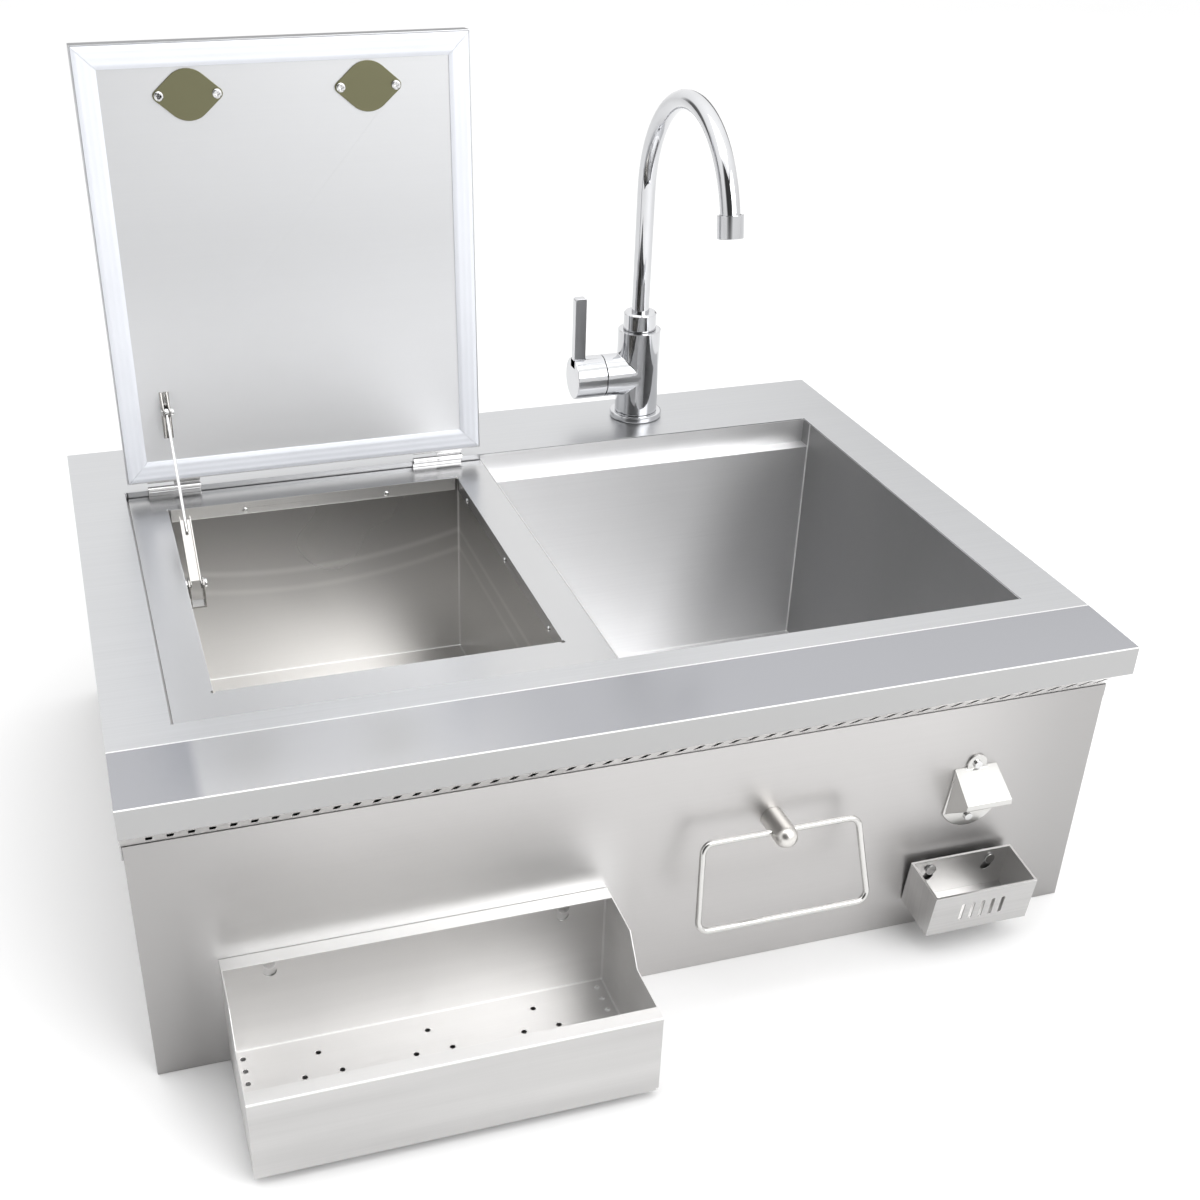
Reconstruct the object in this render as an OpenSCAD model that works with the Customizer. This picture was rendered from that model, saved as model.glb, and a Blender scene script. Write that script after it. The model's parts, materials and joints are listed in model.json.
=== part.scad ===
// Drop-in bar sink with an insulated ice bin, hinged lid, faucet and front accessories.
// Millimetres. X runs along the front, Y towards the back, Z up. The base stands at z = 0.

/* [Cabinet] */
// Width of the unit across the front
unit_w = 762; // [740:1:820]
// Depth of the deck from the apron to the rear edge
deck_d = 588; // [575:1:640]
// Height of the deck above the base
unit_h = 259; // [257:1:300]
// Thickness of the deck sheet
deck_t = 1.5; // [1:0.1:2]
// Thickness of the cabinet panels
panel_t = 1.2; // [0.8:0.1:1.5]
// Depth of the smooth front strip, from the apron to the bend line
strip_d = 67; // [50:1:74]
// Fall of the front strip towards the apron
strip_fall = 1.5; // [0.5:0.1:3]
// Depth of the deck edge, from the deck down to the foot of the apron
edge_h = 25; // [20:1:30]
// Reach of the apron in front of the face panel
apron_out = 24.5; // [18:0.5:30]
// Drop of the vented ledge under the apron
ledge_drop = 22.5; // [16:0.5:28]
// Width of the inward base flanges
base_flange = 20; // [16:1:30]
// Diameter of the base screw holes
base_hole_d = 6.5; // [4:0.5:8]
// Distance of the base screw holes from the front and rear faces
base_hole_in = 60; // [40:1:90]

/* [Vent slots] */
// Spacing of the vent slots
vent_pitch = 13.9; // [10:0.1:20]
// Width of a vent slot
vent_w = 4.5; // [3:0.1:6]
// Length of a vent slot up the ledge
vent_len = 17; // [8:0.5:20]
// Distance of the first vent slot from the end of the apron
vent_in = 19; // [12:0.5:40]

/* [Recess] */
// Width of the recess in the deck
recess_w = 670; // [660:1:690]
// Depth of the recess, front to back
recess_d = 396; // [390:1:402]
// Border of deck behind the recess
rear_border = 101; // [96:1:110]
// Place of the divider between bin and bowl, from the middle
divider_x = -2.5; // [-10:0.5:8]
// Height of the rim that is folded down round the bin side
rim_h = 24; // [18:1:30]
// Radius of the relief holes in the recess corners
relief_r = 1.5; // [1:0.1:2]

/* [Sink bowl] */
// Depth of the bowl below the deck
bowl_depth = 238.5; // [200:0.5:240]
// Thickness of the bowl sheet
bowl_t = 1.2; // [0.8:0.1:1.5]
// Depth of the step on the rear wall below the deck
step_depth = 24.7; // [18:0.1:32]
// Width of the step on the rear wall
step_w = 14.2; // [10:0.1:20]

/* [Ice bin] */
// Sink of the bin frame below the deck
frame_sink = 5.5; // [4:0.1:7]
// Thickness of the bin frame
frame_t = 1.5; // [1:0.1:2]
// Gap round the bin frame
frame_gap = 1.6; // [1:0.1:2]
// Width of the bin opening
bin_w = 265.6; // [250:0.5:268]
// Depth of the bin opening, front to back
bin_d = 316.8; // [300:0.5:320]
// Border of the frame on the right of the opening
bin_right = 33; // [30:0.5:40]
// Border of the frame on the left of the opening, to the recess edge
bin_left = 33.9; // [30:0.1:40]
// Border of the frame behind the opening, to the recess edge
bin_rear = 35.3; // [33:0.1:42]
// Height of the lip folded down round the opening, from the frame's top
lip_h = 12; // [9:0.5:15]
// Thickness of the lip and of the liner
liner_t = 1.2; // [0.8:0.1:1.5]
// Depth of the bin floor below the deck
bin_depth = 186; // [150:1:190]
// Thickness of the foam round the liner
foam_t = 20; // [14:1:21]
// Top of the foam below the deck
foam_top = 22; // [20:1:30]
// Thickness of the outer shell
shell_t = 1; // [0.8:0.1:1.5]
// Half spacing of the rivets on the front and rear lips
rivet_dx = 65; // [50:1:80]
// Half spacing of the outer rivets on the side lips
rivet_dy = 123; // [100:1:130]
// Depth of the rivets below the deck
rivet_drop = 13.5; // [12.5:0.1:14]

/* [Drains] */
// Outer diameter of the bowl drain body
drain_d = 45; // [38:0.5:50]
// Diameter of the bowl drain flange and nut
drain_flange_d = 62; // [58:1:70]
// Depth of the bowl drain body below the bowl floor
drain_h = 17; // [15:0.5:18]
// Outer diameter of the bin drain body
bin_drain_d = 25.4; // [20:0.1:30]
// Length of the bin drain body below the shell
bin_drain_tail = 33; // [20:1:36]

/* [Lid] */
// Width of the lid
lid_w = 326.5; // [318:0.5:327]
// Length of the lid, rear edge to free edge
lid_len = 364.7; // [350:0.5:366]
// Thickness of the lid without its gasket
lid_t = 18; // [15:0.5:22]
// Thickness of the lid sheets
lid_sheet = 1.2; // [0.8:0.1:1.5]
// Lean of the open lid behind the upright
lid_lean = 4; // [0:0.5:6]
// Distance of the lid's rear edge from the hinge axis
lid_back = 8.3; // [7:0.1:10]
// Height of the hinge axis above the deck
hinge_up = 1.5; // [1:0.1:3]
// Place of the lid's middle, from the middle of the unit
lid_x = -168.75; // [-169.5:0.25:-168.5]
// Width of the gasket
gasket_w = 17.5; // [12:0.5:20]
// Thickness of the gasket
gasket_t = 3; // [2:0.5:4]
// Inset of the gasket from the lid's edges
gasket_in = 1.5; // [1:0.1:3]
// Half spacing of the handle legs and of the cover plates
grip_dx = 74.35; // [60:0.5:90]
// Distance of the handle from the hinge axis
grip_s = 332.5; // [300:0.5:340]
// Diameter of the handle bar
grip_d = 10; // [8:0.5:12]
// Height of the handle's middle line above the lid
grip_out = 26; // [20:0.5:32]
// Bend radius of the handle bar
grip_bend = 12; // [8:0.5:15]
// Diameter of the access holes under the cover plates
access_d = 30; // [24:1:34]
// Diameter of the round middle of a cover plate
cover_d = 40.2; // [36:0.2:44]
// Radius of a cover plate's ears
cover_ear_r = 4.8; // [4:0.1:6]
// Half spacing of the screws in a cover plate
cover_screw_dx = 23.4; // [20:0.1:27]

/* [Hinges] */
// Diameter of the hinge knuckles
knuckle_d = 6.4; // [5.6:0.1:7]
// Length of a hinge
hinge_len = 47; // [36:1:60]
// Half spacing of the two hinges
hinge_dx = 122.5; // [110:0.5:130]
// Diameter of the hinge pins
hinge_pin_d = 3; // [2.5:0.1:3.4]
// Running clearance of a hinge pin, radial
pin_gap = 0.05; // [0.03:0.01:0.08]

/* [Lid stay] */
// Place of the stay across the unit
stay_x = -291; // [-292:0.5:-288]
// Distance of the upper pivot from the hinge axis
stay_s = 74.2; // [70:0.1:78]
// Height of the upper pivot in front of the hinge axis plane
stay_n = 13; // [12:0.1:14]
// Distance of the lower pivot in front of the hinge axis
stay_fwd = 139.9; // [134:0.1:146]
// Distance of the lower pivot below the hinge axis
stay_down = 26.9; // [24:0.1:29]
// Length of the channel from its pivot
channel_len = 62; // [50:0.5:62]
// Outer width of the channel
channel_w = 9.5; // [9:0.1:10]
// Length of the rod from its pivot
rod_len = 118; // [114:0.5:122]
// Diameter of the rod
rod_d = 2.6; // [2:0.1:3]

/* [Faucet] */
// Place of the faucet across the unit
tap_x = 174.1; // [150:0.5:200]
// Distance of the faucet from the rear edge
tap_rear = 46; // [42:0.5:60]
// Diameter of the base ring
tap_ring_d = 51.5; // [46:0.5:56]
// Height of the base ring
tap_ring_h = 6.5; // [5:0.5:9]
// Diameter of the body
tap_body_d = 42; // [40:0.5:45]
// Height of the body's top above the deck
tap_body_h = 89.6; // [84:0.2:96]
// Diameter of the shank
shank_d = 28; // [24:0.5:32]
// Length of the shank below the deck
shank_len = 42; // [30:1:60]
// Diameter of the collar on the spout
collar_d = 32; // [26:0.5:36]
// Height of the collar
collar_h = 17; // [12:0.5:24]
// Diameter of the spout tube
tube_d = 17; // [14:0.5:20]
// Bore of the spout tube
tube_bore = 13; // [10:0.5:13]
// Height of the bow's centre above the deck
bow_z = 221.9; // [180:0.1:240]
// Radius of the bow
bow_r = 97.3; // [80:0.1:110]
// Lean of the spout's outlet from the upright
outlet_lean = 9.9; // [4:0.1:15]
// Diameter of the aerator
aerator_d = 22.5; // [20:0.5:25]
// Length of the aerator
aerator_h = 19; // [14:0.5:24]
// Height of the valve axis above the deck
valve_z = 45; // [42:0.5:47]
// Diameter of the valve barrel and of the cap
valve_d = 41; // [38:0.5:41]
// Distance of the cap joint from the faucet axis
valve_out = 37.5; // [35:0.5:44]
// Length of the cap
cap_len = 30.2; // [26:0.2:36]
// Width of the lever across the valve axis
lever_w = 9; // [7:0.5:11]
// Thickness of the lever along the valve axis
lever_t = 11.5; // [9:0.5:13]
// Height of the lever's tip above the deck
lever_top = 125; // [100:1:140]

/* [Front accessories] */
// Width of the speed rail
rail_w = 293.5; // [260:0.5:296]
// Place of the speed rail's middle
rail_x = -179.25; // [-185:0.25:-176]
// Reach of the speed rail in front of the face panel
rail_out = 123; // [90:1:140]
// Height of the speed rail's back
rail_h = 92; // [84:1:98]
// Height of the speed rail's front
rail_front_h = 70; // [50:1:78]
// Top of the speed rail below the deck
rail_drop = 160; // [156:1:161]
// Depth of the rail's folded top and front edges
rail_fold = 12.5; // [8:0.5:16]
// Thickness of the rail and catcher sheet
rail_t = 1; // [0.8:0.1:1.5]
// Half spacing of the speed rail's hanger screws
rail_hang_dx = 111.5; // [90:0.5:125]
// Spacing of the drain hole groups in the rail floor
rail_group = 83.6; // [70:0.2:90]
// Width of the cap catcher
catcher_w = 91; // [80:0.5:96]
// Depth of the cap catcher
catcher_d = 42.5; // [34:0.5:50]
// Height of the cap catcher
catcher_h = 42; // [36:0.5:50]
// Place of the cap catcher's middle
catcher_x = 272.8; // [264:0.2:290]
// Foot of the cap catcher below the deck
catcher_drop = 230.7; // [226:0.1:234]
// Lean of the cap catcher
catcher_lean = 7.3; // [4:0.1:9]
// Half spacing of the catcher's hanger screws
catcher_hang_dx = 27; // [20:0.5:32]
// Travel that frees a hung piece from its screws
hang_travel = 9; // [8.5:0.5:10]
// Place of the bottle opener's middle
opener_x = 274.3; // [262:0.1:290]
// Top of the bottle opener below the deck
opener_drop = 95; // [90:0.5:98]
// Height of the bottle opener
opener_h = 68; // [62:0.5:72]
// Thickness of the bottle opener
opener_t = 2; // [1.5:0.1:2.5]
// Reach of the opener's hood in front of the face panel
hood_out = 27; // [22:0.5:32]
// Place of the towel post
post_x = 100; // [90:1:110]
// Axis of the towel post below the deck
post_drop = 121; // [110:1:130]
// Diameter of the towel post
post_d = 18.5; // [15:0.5:22]
// Reach of the towel post to the middle of its round end
post_out = 25; // [22:0.5:30]
// Distance of the ring's axis from the face panel
ring_out = 18; // [16:0.5:20]
// Diameter of the towel ring's rod
ring_d = 5; // [4:0.5:6]
// Width of the towel ring at its top, between middle lines
ring_top_w = 128; // [100:1:140]
// Width of the towel ring at its foot, between middle lines
ring_foot_w = 143; // [110:1:150]
// Height of the towel ring, between middle lines
ring_h = 71; // [60:1:90]
// Swing of the towel ring at rest, away from the panel
ring_swing = 15.4; // [0:0.2:20]

/* [Hidden] */
$fn = 48;

// Clearances
gap = 0.3;            // between pieces that move past each other
slip = 0.05;          // round a screw or rivet in its hole
over = 1;             // overshoot of a cut
lap = 0.3;            // reach of a straight rod into its bends
swell = 0.02;         // a bend is this much thicker than the rod, each way

// Cabinet
deck_z = unit_h;
rear_y = (deck_d + rail_out - apron_out) / 2;
front_y = rear_y - deck_d;
face_y = front_y + apron_out;
bend_y = front_y + strip_d;
apron_foot = deck_z - edge_h;
vent_at = 0.41;       // place of the vent slots down the ledge, as a share of its slope
lap_y = face_y + panel_t;
lap_z = apron_foot - ledge_drop * (1 + panel_t / apron_out);
lap_foot = lap_z - 12;
lap_w = 14;
stiffener_gap = 4;
stiffener_leg = 18;
stiffener_in = 40;
panel_w = unit_w - 2 * deck_t;
inner_w = panel_w - 2 * panel_t;
base_hole_x = panel_w / 2 - base_flange / 2;
base_hole_y = [face_y + base_hole_in, rear_y - base_hole_in];

// Recess and bowl
bin_x1 = divider_x - bin_right;
bin_x0 = bin_x1 - bin_w;
rec_x0 = bin_x0 - bin_left;
rec_x1 = rec_x0 + recess_w;
rec_y1 = rear_y - rear_border;
rec_y0 = rec_y1 - recess_d;
wall_x = divider_x - bowl_t;
bowl_floor = deck_z - bowl_depth;
step_z = deck_z - step_depth;
step_y = rec_y1 - step_w;
drain_x = (divider_x + rec_x1) / 2;
drain_y = (rec_y0 + step_y) / 2;
drain_r = drain_d / 2;
drain_flange_t = 1.5;
drain_gasket_t = 2;
drain_nut_t = 8;
drain_nut_foot = bowl_floor - bowl_t - drain_gasket_t - drain_nut_t;
tail_step = 0.7;
strainer_seat = bowl_floor - 6.5;

// Bin
frame_top = deck_z - frame_sink;
frame_foot = frame_top - frame_t;
bin_y1 = rec_y1 - bin_rear;
bin_y0 = bin_y1 - bin_d;
bin_cx = (bin_x0 + bin_x1) / 2;
bin_cy = (bin_y0 + bin_y1) / 2;
bin_floor = deck_z - bin_depth;
shell_foot = bin_floor - liner_t - foam_t - shell_t;
rivet_z = deck_z - rivet_drop;
rivet_r = 1.6;
ledge_w = 9;
lip_relief = 1.5 * liner_t;
bin_drain_r = bin_drain_d / 2;
bin_drain_wall = 3.7;
bin_flange_r = 19;
bin_nut_t = 8;

// Lid, in its own frame: X across, Y from the hinge axis to the free edge, Z towards the bin
hinge_y = rec_y1 - knuckle_d / 2;
hinge_z = deck_z + hinge_up;
lid_in = hinge_z - frame_top - gap - gasket_t;
lid_out = lid_in - lid_t;
lid_s1 = lid_back + lid_len;
leaf_t = 1.2;
screw_r = 2.5;
screw_thin = 1.9;

// Lid stay
low_y = hinge_y - stay_fwd;
low_z = hinge_z - stay_down;
up_y = hinge_y + stay_s * sin(lid_lean) - stay_n * cos(lid_lean);
up_z = hinge_z + stay_s * cos(lid_lean) + stay_n * sin(lid_lean);
stay_angle = atan2(up_z - low_z, up_y - low_y);
eye_w = 3.2;
ear_t = 1.2;
ear_in = eye_w / 2 + gap;
stay_pin_r = 2;
channel_t = 1;
clevis_in = channel_w / 2 + gap + 0.1;
clevis_t = 1.5;
clevis_drop = 20;

// Faucet
tap_y = rear_y - tap_rear;
tap_hole_r = shank_d / 2 + 3;
tap_top = deck_z + tap_body_h;
bow_y = tap_y - bow_r;
valve_h = deck_z + valve_z;
joint_x = tap_x - valve_out;
cap_x1 = joint_x - gap;
cap_x0 = cap_x1 - cap_len;
lever_x = cap_x0 + lever_t / 2;
lever_pin_r = 1.5;
lever_up = valve_d / 2 - 6.5;
lever_pin_half = 12;
stem_r = 10;
stem_h = 20;
cartridge_r = valve_d / 2 - 3.2;
spindle_r = 5;
inlet_r = 5;
inlet_dx = 6.5;
aerator_gap = 0.5;

// Front pieces
rail_z1 = deck_z - rail_drop;
rail_z0 = rail_z1 - rail_h;
hang_r = 2.3;
hang_head_r = 4.5;
hang_head_t = 2;
rail_hang_z = rail_z1 - 10;
catcher_z0 = deck_z - catcher_drop;
catcher_hang_up = 32;
catcher_hem = 4.5;    // height of the hem inside the catcher's mouth
catcher_hang_z = catcher_z0 + catcher_hang_up * cos(catcher_lean);
catcher_hang_y = face_y - gap - catcher_hang_up * sin(catcher_lean);
opener_z1 = deck_z - opener_drop;
opener_z0 = opener_z1 - opener_h;
opener_screw_z = [opener_z1 - 8.5, opener_z0 + 9];
opener_screw_r = 1.9;
post_z = deck_z - post_drop;
ring_y = face_y - ring_out;
ring_bend = 7.5;
ring_slope = atan2((ring_foot_w - ring_top_w) / 2, ring_h);

// A box given by its lowest and highest corners
module box(lo, hi) {
    translate(lo) cube(hi - lo);
}

// A rod along X, along Y, or along Z, from a to b
module rod_x(r, a, b, y = 0, z = 0) {
    translate([a, y, z]) rotate([0, 90, 0]) cylinder(r = r, h = b - a);
}
module rod_y(r, a, b, x = 0, z = 0) {
    translate([x, b, z]) rotate([90, 0, 0]) cylinder(r = r, h = b - a);
}
module rod_z(r, a, b, x = 0, y = 0) {
    translate([x, y, a]) cylinder(r = r, h = b - a);
}

// A YZ outline drawn along X, from a to b
module run_x(a, b) {
    translate([a, 0, 0]) rotate([90, 0, 90]) linear_extrude(b - a) children();
}
// An XZ outline drawn along Y, from a to b
module run_y(a, b) {
    translate([0, b, 0]) rotate([90, 0, 0]) linear_extrude(b - a) children();
}

// Outline of a bent sheet: a path thickened to its left, with mitred bends
function left_of(a, b) = [a[1] - b[1], b[0] - a[0]] / norm(b - a);
function mitre(a, b, c) = (left_of(a, b) + left_of(b, c)) / (1 + left_of(a, b) * left_of(b, c));
function beside(p, i, t) = p[i] + t * (i == 0 ? left_of(p[0], p[1])
    : i == len(p) - 1 ? left_of(p[i - 1], p[i]) : mitre(p[i - 1], p[i], p[i + 1]));
module bent(p, t) {
    polygon(concat(p, [for (i = [len(p) - 1 : -1 : 0]) beside(p, i, t)]));
}

// Rectangle with round ends, long in Y
module slot_2d(w, l) {
    square([w, l - w], center = true);
    for (s = [-1, 1]) translate([0, s * (l - w) / 2]) circle(d = w);
}

// Keyhole in a hanging sheet: a wide entry below a narrow slot
module keyhole_2d(r, head_r) {
    translate([0, -hang_travel / 2]) square([2 * r, hang_travel], center = true);
    circle(r = r);
    translate([0, -hang_travel]) circle(r = head_r);
}

// ---------------------------------------------------------------- cabinet

edge_path = [[bend_y, deck_z], [front_y, deck_z - strip_fall], [front_y, apron_foot],
    [lap_y, lap_z]];
skirt_outline = [[rear_y, deck_z], [bend_y, deck_z], [front_y, deck_z - strip_fall],
    [front_y, apron_foot], [lap_y, lap_z], [lap_y, lap_foot], [lap_y + lap_w, lap_foot],
    [lap_y + lap_w, apron_foot], [rear_y, apron_foot]];

module vent_slots() {
    n = floor((unit_w - 2 * vent_in) / vent_pitch);
    slope = atan2(ledge_drop, apron_out);
    mid = [front_y, apron_foot] + vent_at * [apron_out, -ledge_drop];
    translate([0, mid[0], mid[1]]) rotate([-slope, 0, 0]) translate([0, 0, -3])
        linear_extrude(6)
            for (i = [0 : n]) translate([(i - n / 2) * vent_pitch, 0])
                square([vent_w, vent_len], center = true);
}

module deck_top() {
    color("gainsboro") difference() {
        union() {
            box([-unit_w / 2, bend_y, deck_z - deck_t], [unit_w / 2, rear_y, deck_z]);
            run_x(-unit_w / 2, unit_w / 2) bent(edge_path, deck_t);
            run_x(-inner_w / 2, inner_w / 2) bent(concat(edge_path, [[lap_y, lap_foot]]), deck_t);
            for (s = [-1, 1]) scale([s, 1, 1])
                run_x(unit_w / 2 - deck_t, unit_w / 2) polygon(skirt_outline);
            box([-unit_w / 2, rear_y - deck_t, apron_foot], [unit_w / 2, rear_y, deck_z]);
            box([rec_x0 - deck_t, rec_y0 - deck_t, deck_z - rim_h],
                [wall_x, rec_y1 + deck_t, deck_z]);
        }
        box([rec_x0, rec_y0, deck_z - rim_h - over], [rec_x1, rec_y1, deck_z + over]);
        for (x = [rec_x0 + 1, rec_x1 - 1], y = [rec_y0 + 1, rec_y1 - 1])
            rod_z(relief_r, deck_z - rim_h - over, deck_z + over, x, y);
        vent_slots();
        rod_z(tap_hole_r, deck_z - deck_t - over, deck_z + over, tap_x, tap_y);
    }
}
module deck_stiffener() {
    y = rec_y0 - deck_t - stiffener_gap;
    z = deck_z - deck_t;
    half = inner_w / 2 - stiffener_in;
    color("silver") run_x(-half, half)
        bent([[y - stiffener_leg, z], [y, z], [y, z - stiffener_leg]], -panel_t);
}

module front_panel() {
    color("gainsboro") difference() {
        union() {
            box([-panel_w / 2, face_y, 0], [panel_w / 2, lap_y, lap_z]);
            box([-inner_w / 2, face_y, 0], [inner_w / 2, face_y + base_flange, panel_t]);
        }
        for (s = [-1, 1]) {
            face_hole(hang_r, rail_x + s * rail_hang_dx, rail_hang_z);
            face_hole(hang_r, catcher_x + s * catcher_hang_dx, catcher_hang_z);
        }
        for (z = opener_screw_z) face_hole(opener_screw_r, opener_x, z);
        face_hole(screw_r, post_x, post_z);
    }
}
module face_hole(r, x, z) {
    rod_y(r + slip, face_y - over, lap_y + over, x, z);
}

module side_panel(s) {
    y1 = rear_y - deck_t;
    color("silver") scale([s, 1, 1]) difference() {
        union() {
            run_x(inner_w / 2, panel_w / 2)
                polygon([[lap_y, 0], [y1, 0], [y1, deck_z - deck_t], [bend_y, deck_z - deck_t],
                    [lap_y + lap_w, deck_z - deck_t - strip_fall], [lap_y + lap_w, lap_foot - gap],
                    [lap_y, lap_foot - gap]]);
            box([panel_w / 2 - base_flange, face_y + base_flange, 0],
                [panel_w / 2, y1 - base_flange, panel_t]);
        }
        for (y = base_hole_y) rod_z(base_hole_d / 2, -over, panel_t + over, base_hole_x, y);
    }
}
module left_panel() {
    side_panel(-1);
}
module right_panel() {
    side_panel(1);
}

module back_panel() {
    y1 = rear_y - deck_t;
    color("silver") run_x(-inner_w / 2, inner_w / 2)
        bent([[y1, 0], [y1, deck_z - deck_t]], panel_t);
    color("silver") box([-inner_w / 2, y1 - base_flange, 0], [inner_w / 2, y1, panel_t]);
}

// ---------------------------------------------------------------- sink bowl

module sink_bowl() {
    top = deck_z - deck_t;
    color("silver") difference() {
        union() {
            box([wall_x, rec_y0 - bowl_t, bowl_floor - bowl_t], [rec_x1 + bowl_t, step_y + bowl_t, top]);
            box([wall_x, step_y, step_z - bowl_t], [rec_x1 + bowl_t, rec_y1 + bowl_t, top]);
            // shelf that carries the bin frame's right side
            box([wall_x - ledge_w, bin_y0, frame_foot - bowl_t], [wall_x, bin_y1, frame_foot]);
        }
        box([divider_x, rec_y0, bowl_floor], [rec_x1, step_y, top + over]);
        box([divider_x, rec_y0, step_z], [rec_x1, rec_y1, top + over]);
        box([wall_x - over, rec_y0, frame_top], [divider_x + over, rec_y1, top + over]);
        rod_z(drain_r + slip, bowl_floor - bowl_t - over, bowl_floor + over, drain_x, drain_y);
    }
}

// Pieces turned about the bowl drain's axis
module sink_drain_body() {
    color("silver") translate([drain_x, drain_y, 0]) difference() {
        union() {
            rod_z(drain_flange_d / 2, bowl_floor, bowl_floor + drain_flange_t);
            rod_z(drain_r, drain_nut_foot - gap, bowl_floor + drain_flange_t);
            rod_z(drain_r - tail_step, bowl_floor - drain_h, bowl_floor);
        }
        rod_z(drain_r - 2, strainer_seat, bowl_floor + drain_flange_t + over);
        rod_z(drain_r - 5, bowl_floor - drain_h - over, strainer_seat + over);
    }
}
module sink_drain_gasket() {
    z = bowl_floor - bowl_t;
    color("dimgray") translate([drain_x, drain_y, 0]) difference() {
        rod_z(drain_flange_d / 2 - 1, z - drain_gasket_t, z);
        rod_z(drain_r + slip, z - drain_gasket_t - over, z + over);
    }
}
module sink_drain_nut() {
    z = bowl_floor - bowl_t - drain_gasket_t;
    color("darkgray") translate([drain_x, drain_y, 0]) difference() {
        union() {
            rod_z(drain_flange_d / 2 - 2, z - drain_nut_t, z);
            for (a = [0 : 60 : 300]) rotate(a)
                box([drain_flange_d / 2 - 4, -3, z - drain_nut_t], [drain_flange_d / 2 + 1, 3, z]);
        }
        rod_z(drain_r + slip, z - drain_nut_t - over, z + over);
    }
}
module drain_strainer() {
    z = strainer_seat + gap;
    r = drain_r - 2 - 0.5;
    color("lightgray") translate([drain_x, drain_y, 0]) difference() {
        union() {
            rod_z(r, z, z + 1);
            difference() {
                rod_z(r, z, z + 5);
                rod_z(r - 1, z + 0.5, z + 5 + over);
            }
            rod_z(3, z, z + 6);
        }
        for (a = [0 : 60 : 300]) rotate(a) rod_z(1.6, z - over, z + 2, 7.5);
        for (a = [0 : 30 : 330]) rotate(a) rod_z(1.6, z - over, z + 2, 14);
    }
}

// ---------------------------------------------------------------- ice bin

// Rivets: [place of the lip's inner face, turn about Z so that +X points out through the lip]
rivets = concat(
    [for (s = [-1, 1]) [bin_cx + s * rivet_dx, bin_y1, 90]],
    [for (s = [-1, 1]) [bin_cx + s * rivet_dx, bin_y0, -90]],
    [for (i = [-1 : 1]) [bin_x1, bin_cy + i * rivet_dy, 0]],
    [for (i = [-1 : 1]) [bin_x0, bin_cy + i * rivet_dy, 180]]);
module at_rivets() {
    for (p = rivets) translate([p[0], p[1], rivet_z]) rotate(p[2]) children();
}

module bin_frame() {
    lip_foot = frame_top - lip_h;
    color("gainsboro") difference() {
        union() {
            box([rec_x0 + frame_gap, rec_y0 + frame_gap, frame_foot],
                [wall_x, rec_y1 - frame_gap, frame_top]);
            box([bin_x0 - liner_t, bin_y0 - liner_t, lip_foot],
                [bin_x1 + liner_t, bin_y1 + liner_t, frame_top]);
        }
        box([bin_x0, bin_y0, lip_foot - over], [bin_x1, bin_y1, frame_top + over]);
        for (x = [bin_x0, bin_x1], y = [bin_y0, bin_y1])
            rod_z(lip_relief, lip_foot - over, frame_top + over, x, y);
        at_rivets() rod_x(rivet_r + slip, -over, liner_t + over);
    }
}

module bin_ledge() {
    t = bowl_t;
    z = frame_foot;
    color("silver") {
        run_y(rec_y0, rec_y1 - frame_gap - leaf_t)
            bent([[rec_x0 + ledge_w, z], [rec_x0, z], [rec_x0, deck_z - rim_h]], t);
        run_x(rec_x0 + ledge_w, wall_x - ledge_w - gap)
            bent([[rec_y0 + ledge_w, z], [rec_y0, z], [rec_y0, deck_z - rim_h]], t);
    }
}

module bin_rivets() {
    color("silver") at_rivets() {
        rod_x(rivet_r, -slip, 2 * liner_t + slip);
        translate([-slip, 0, 0]) rotate([0, -90, 0]) cylinder(r1 = 2.8, r2 = 1.6, h = 1.2);
        rod_x(2.4, 2 * liner_t + slip, 2 * liner_t + 2);
    }
}

module bin_liner() {
    t = liner_t;
    color("silver") difference() {
        box([bin_x0 - 2 * t, bin_y0 - 2 * t, bin_floor - t], [bin_x1 + 2 * t, bin_y1 + 2 * t, frame_foot]);
        box([bin_x0 - t, bin_y0 - t, bin_floor], [bin_x1 + t, bin_y1 + t, frame_foot + over]);
        at_rivets() rod_x(rivet_r + slip, -over, 2 * t + over);
        rod_z(bin_drain_r + slip, bin_floor - t - over, bin_floor + over, bin_cx, bin_cy);
        at_stay_rivets() rod_x(rivet_r + slip, -3 * t, t);
    }
}

module bin_insulation() {
    o = 2 * liner_t + foam_t;
    i = 2 * liner_t;
    color("lightyellow") difference() {
        box([bin_x0 - o, bin_y0 - o, bin_floor - liner_t - foam_t],
            [bin_x1 + o, bin_y1 + o, deck_z - foam_top]);
        box([bin_x0 - i, bin_y0 - i, bin_floor - liner_t], [bin_x1 + i, bin_y1 + i, deck_z]);
        rod_z(bin_drain_r + gap, shell_foot - over, bin_floor, bin_cx, bin_cy);
        at_stay_rivets() rod_x(3, -8 * liner_t, 0);
    }
}

module bin_shell() {
    i = 2 * liner_t + foam_t;
    o = i + shell_t;
    color("darkgray") difference() {
        box([bin_x0 - o, bin_y0 - o, shell_foot], [bin_x1 + o, bin_y1 + o, frame_foot - bowl_t - gap]);
        box([bin_x0 - i, bin_y0 - i, shell_foot + shell_t], [bin_x1 + i, bin_y1 + i, deck_z]);
        rod_z(bin_drain_r + slip, shell_foot - over, shell_foot + shell_t + over, bin_cx, bin_cy);
    }
}

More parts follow.
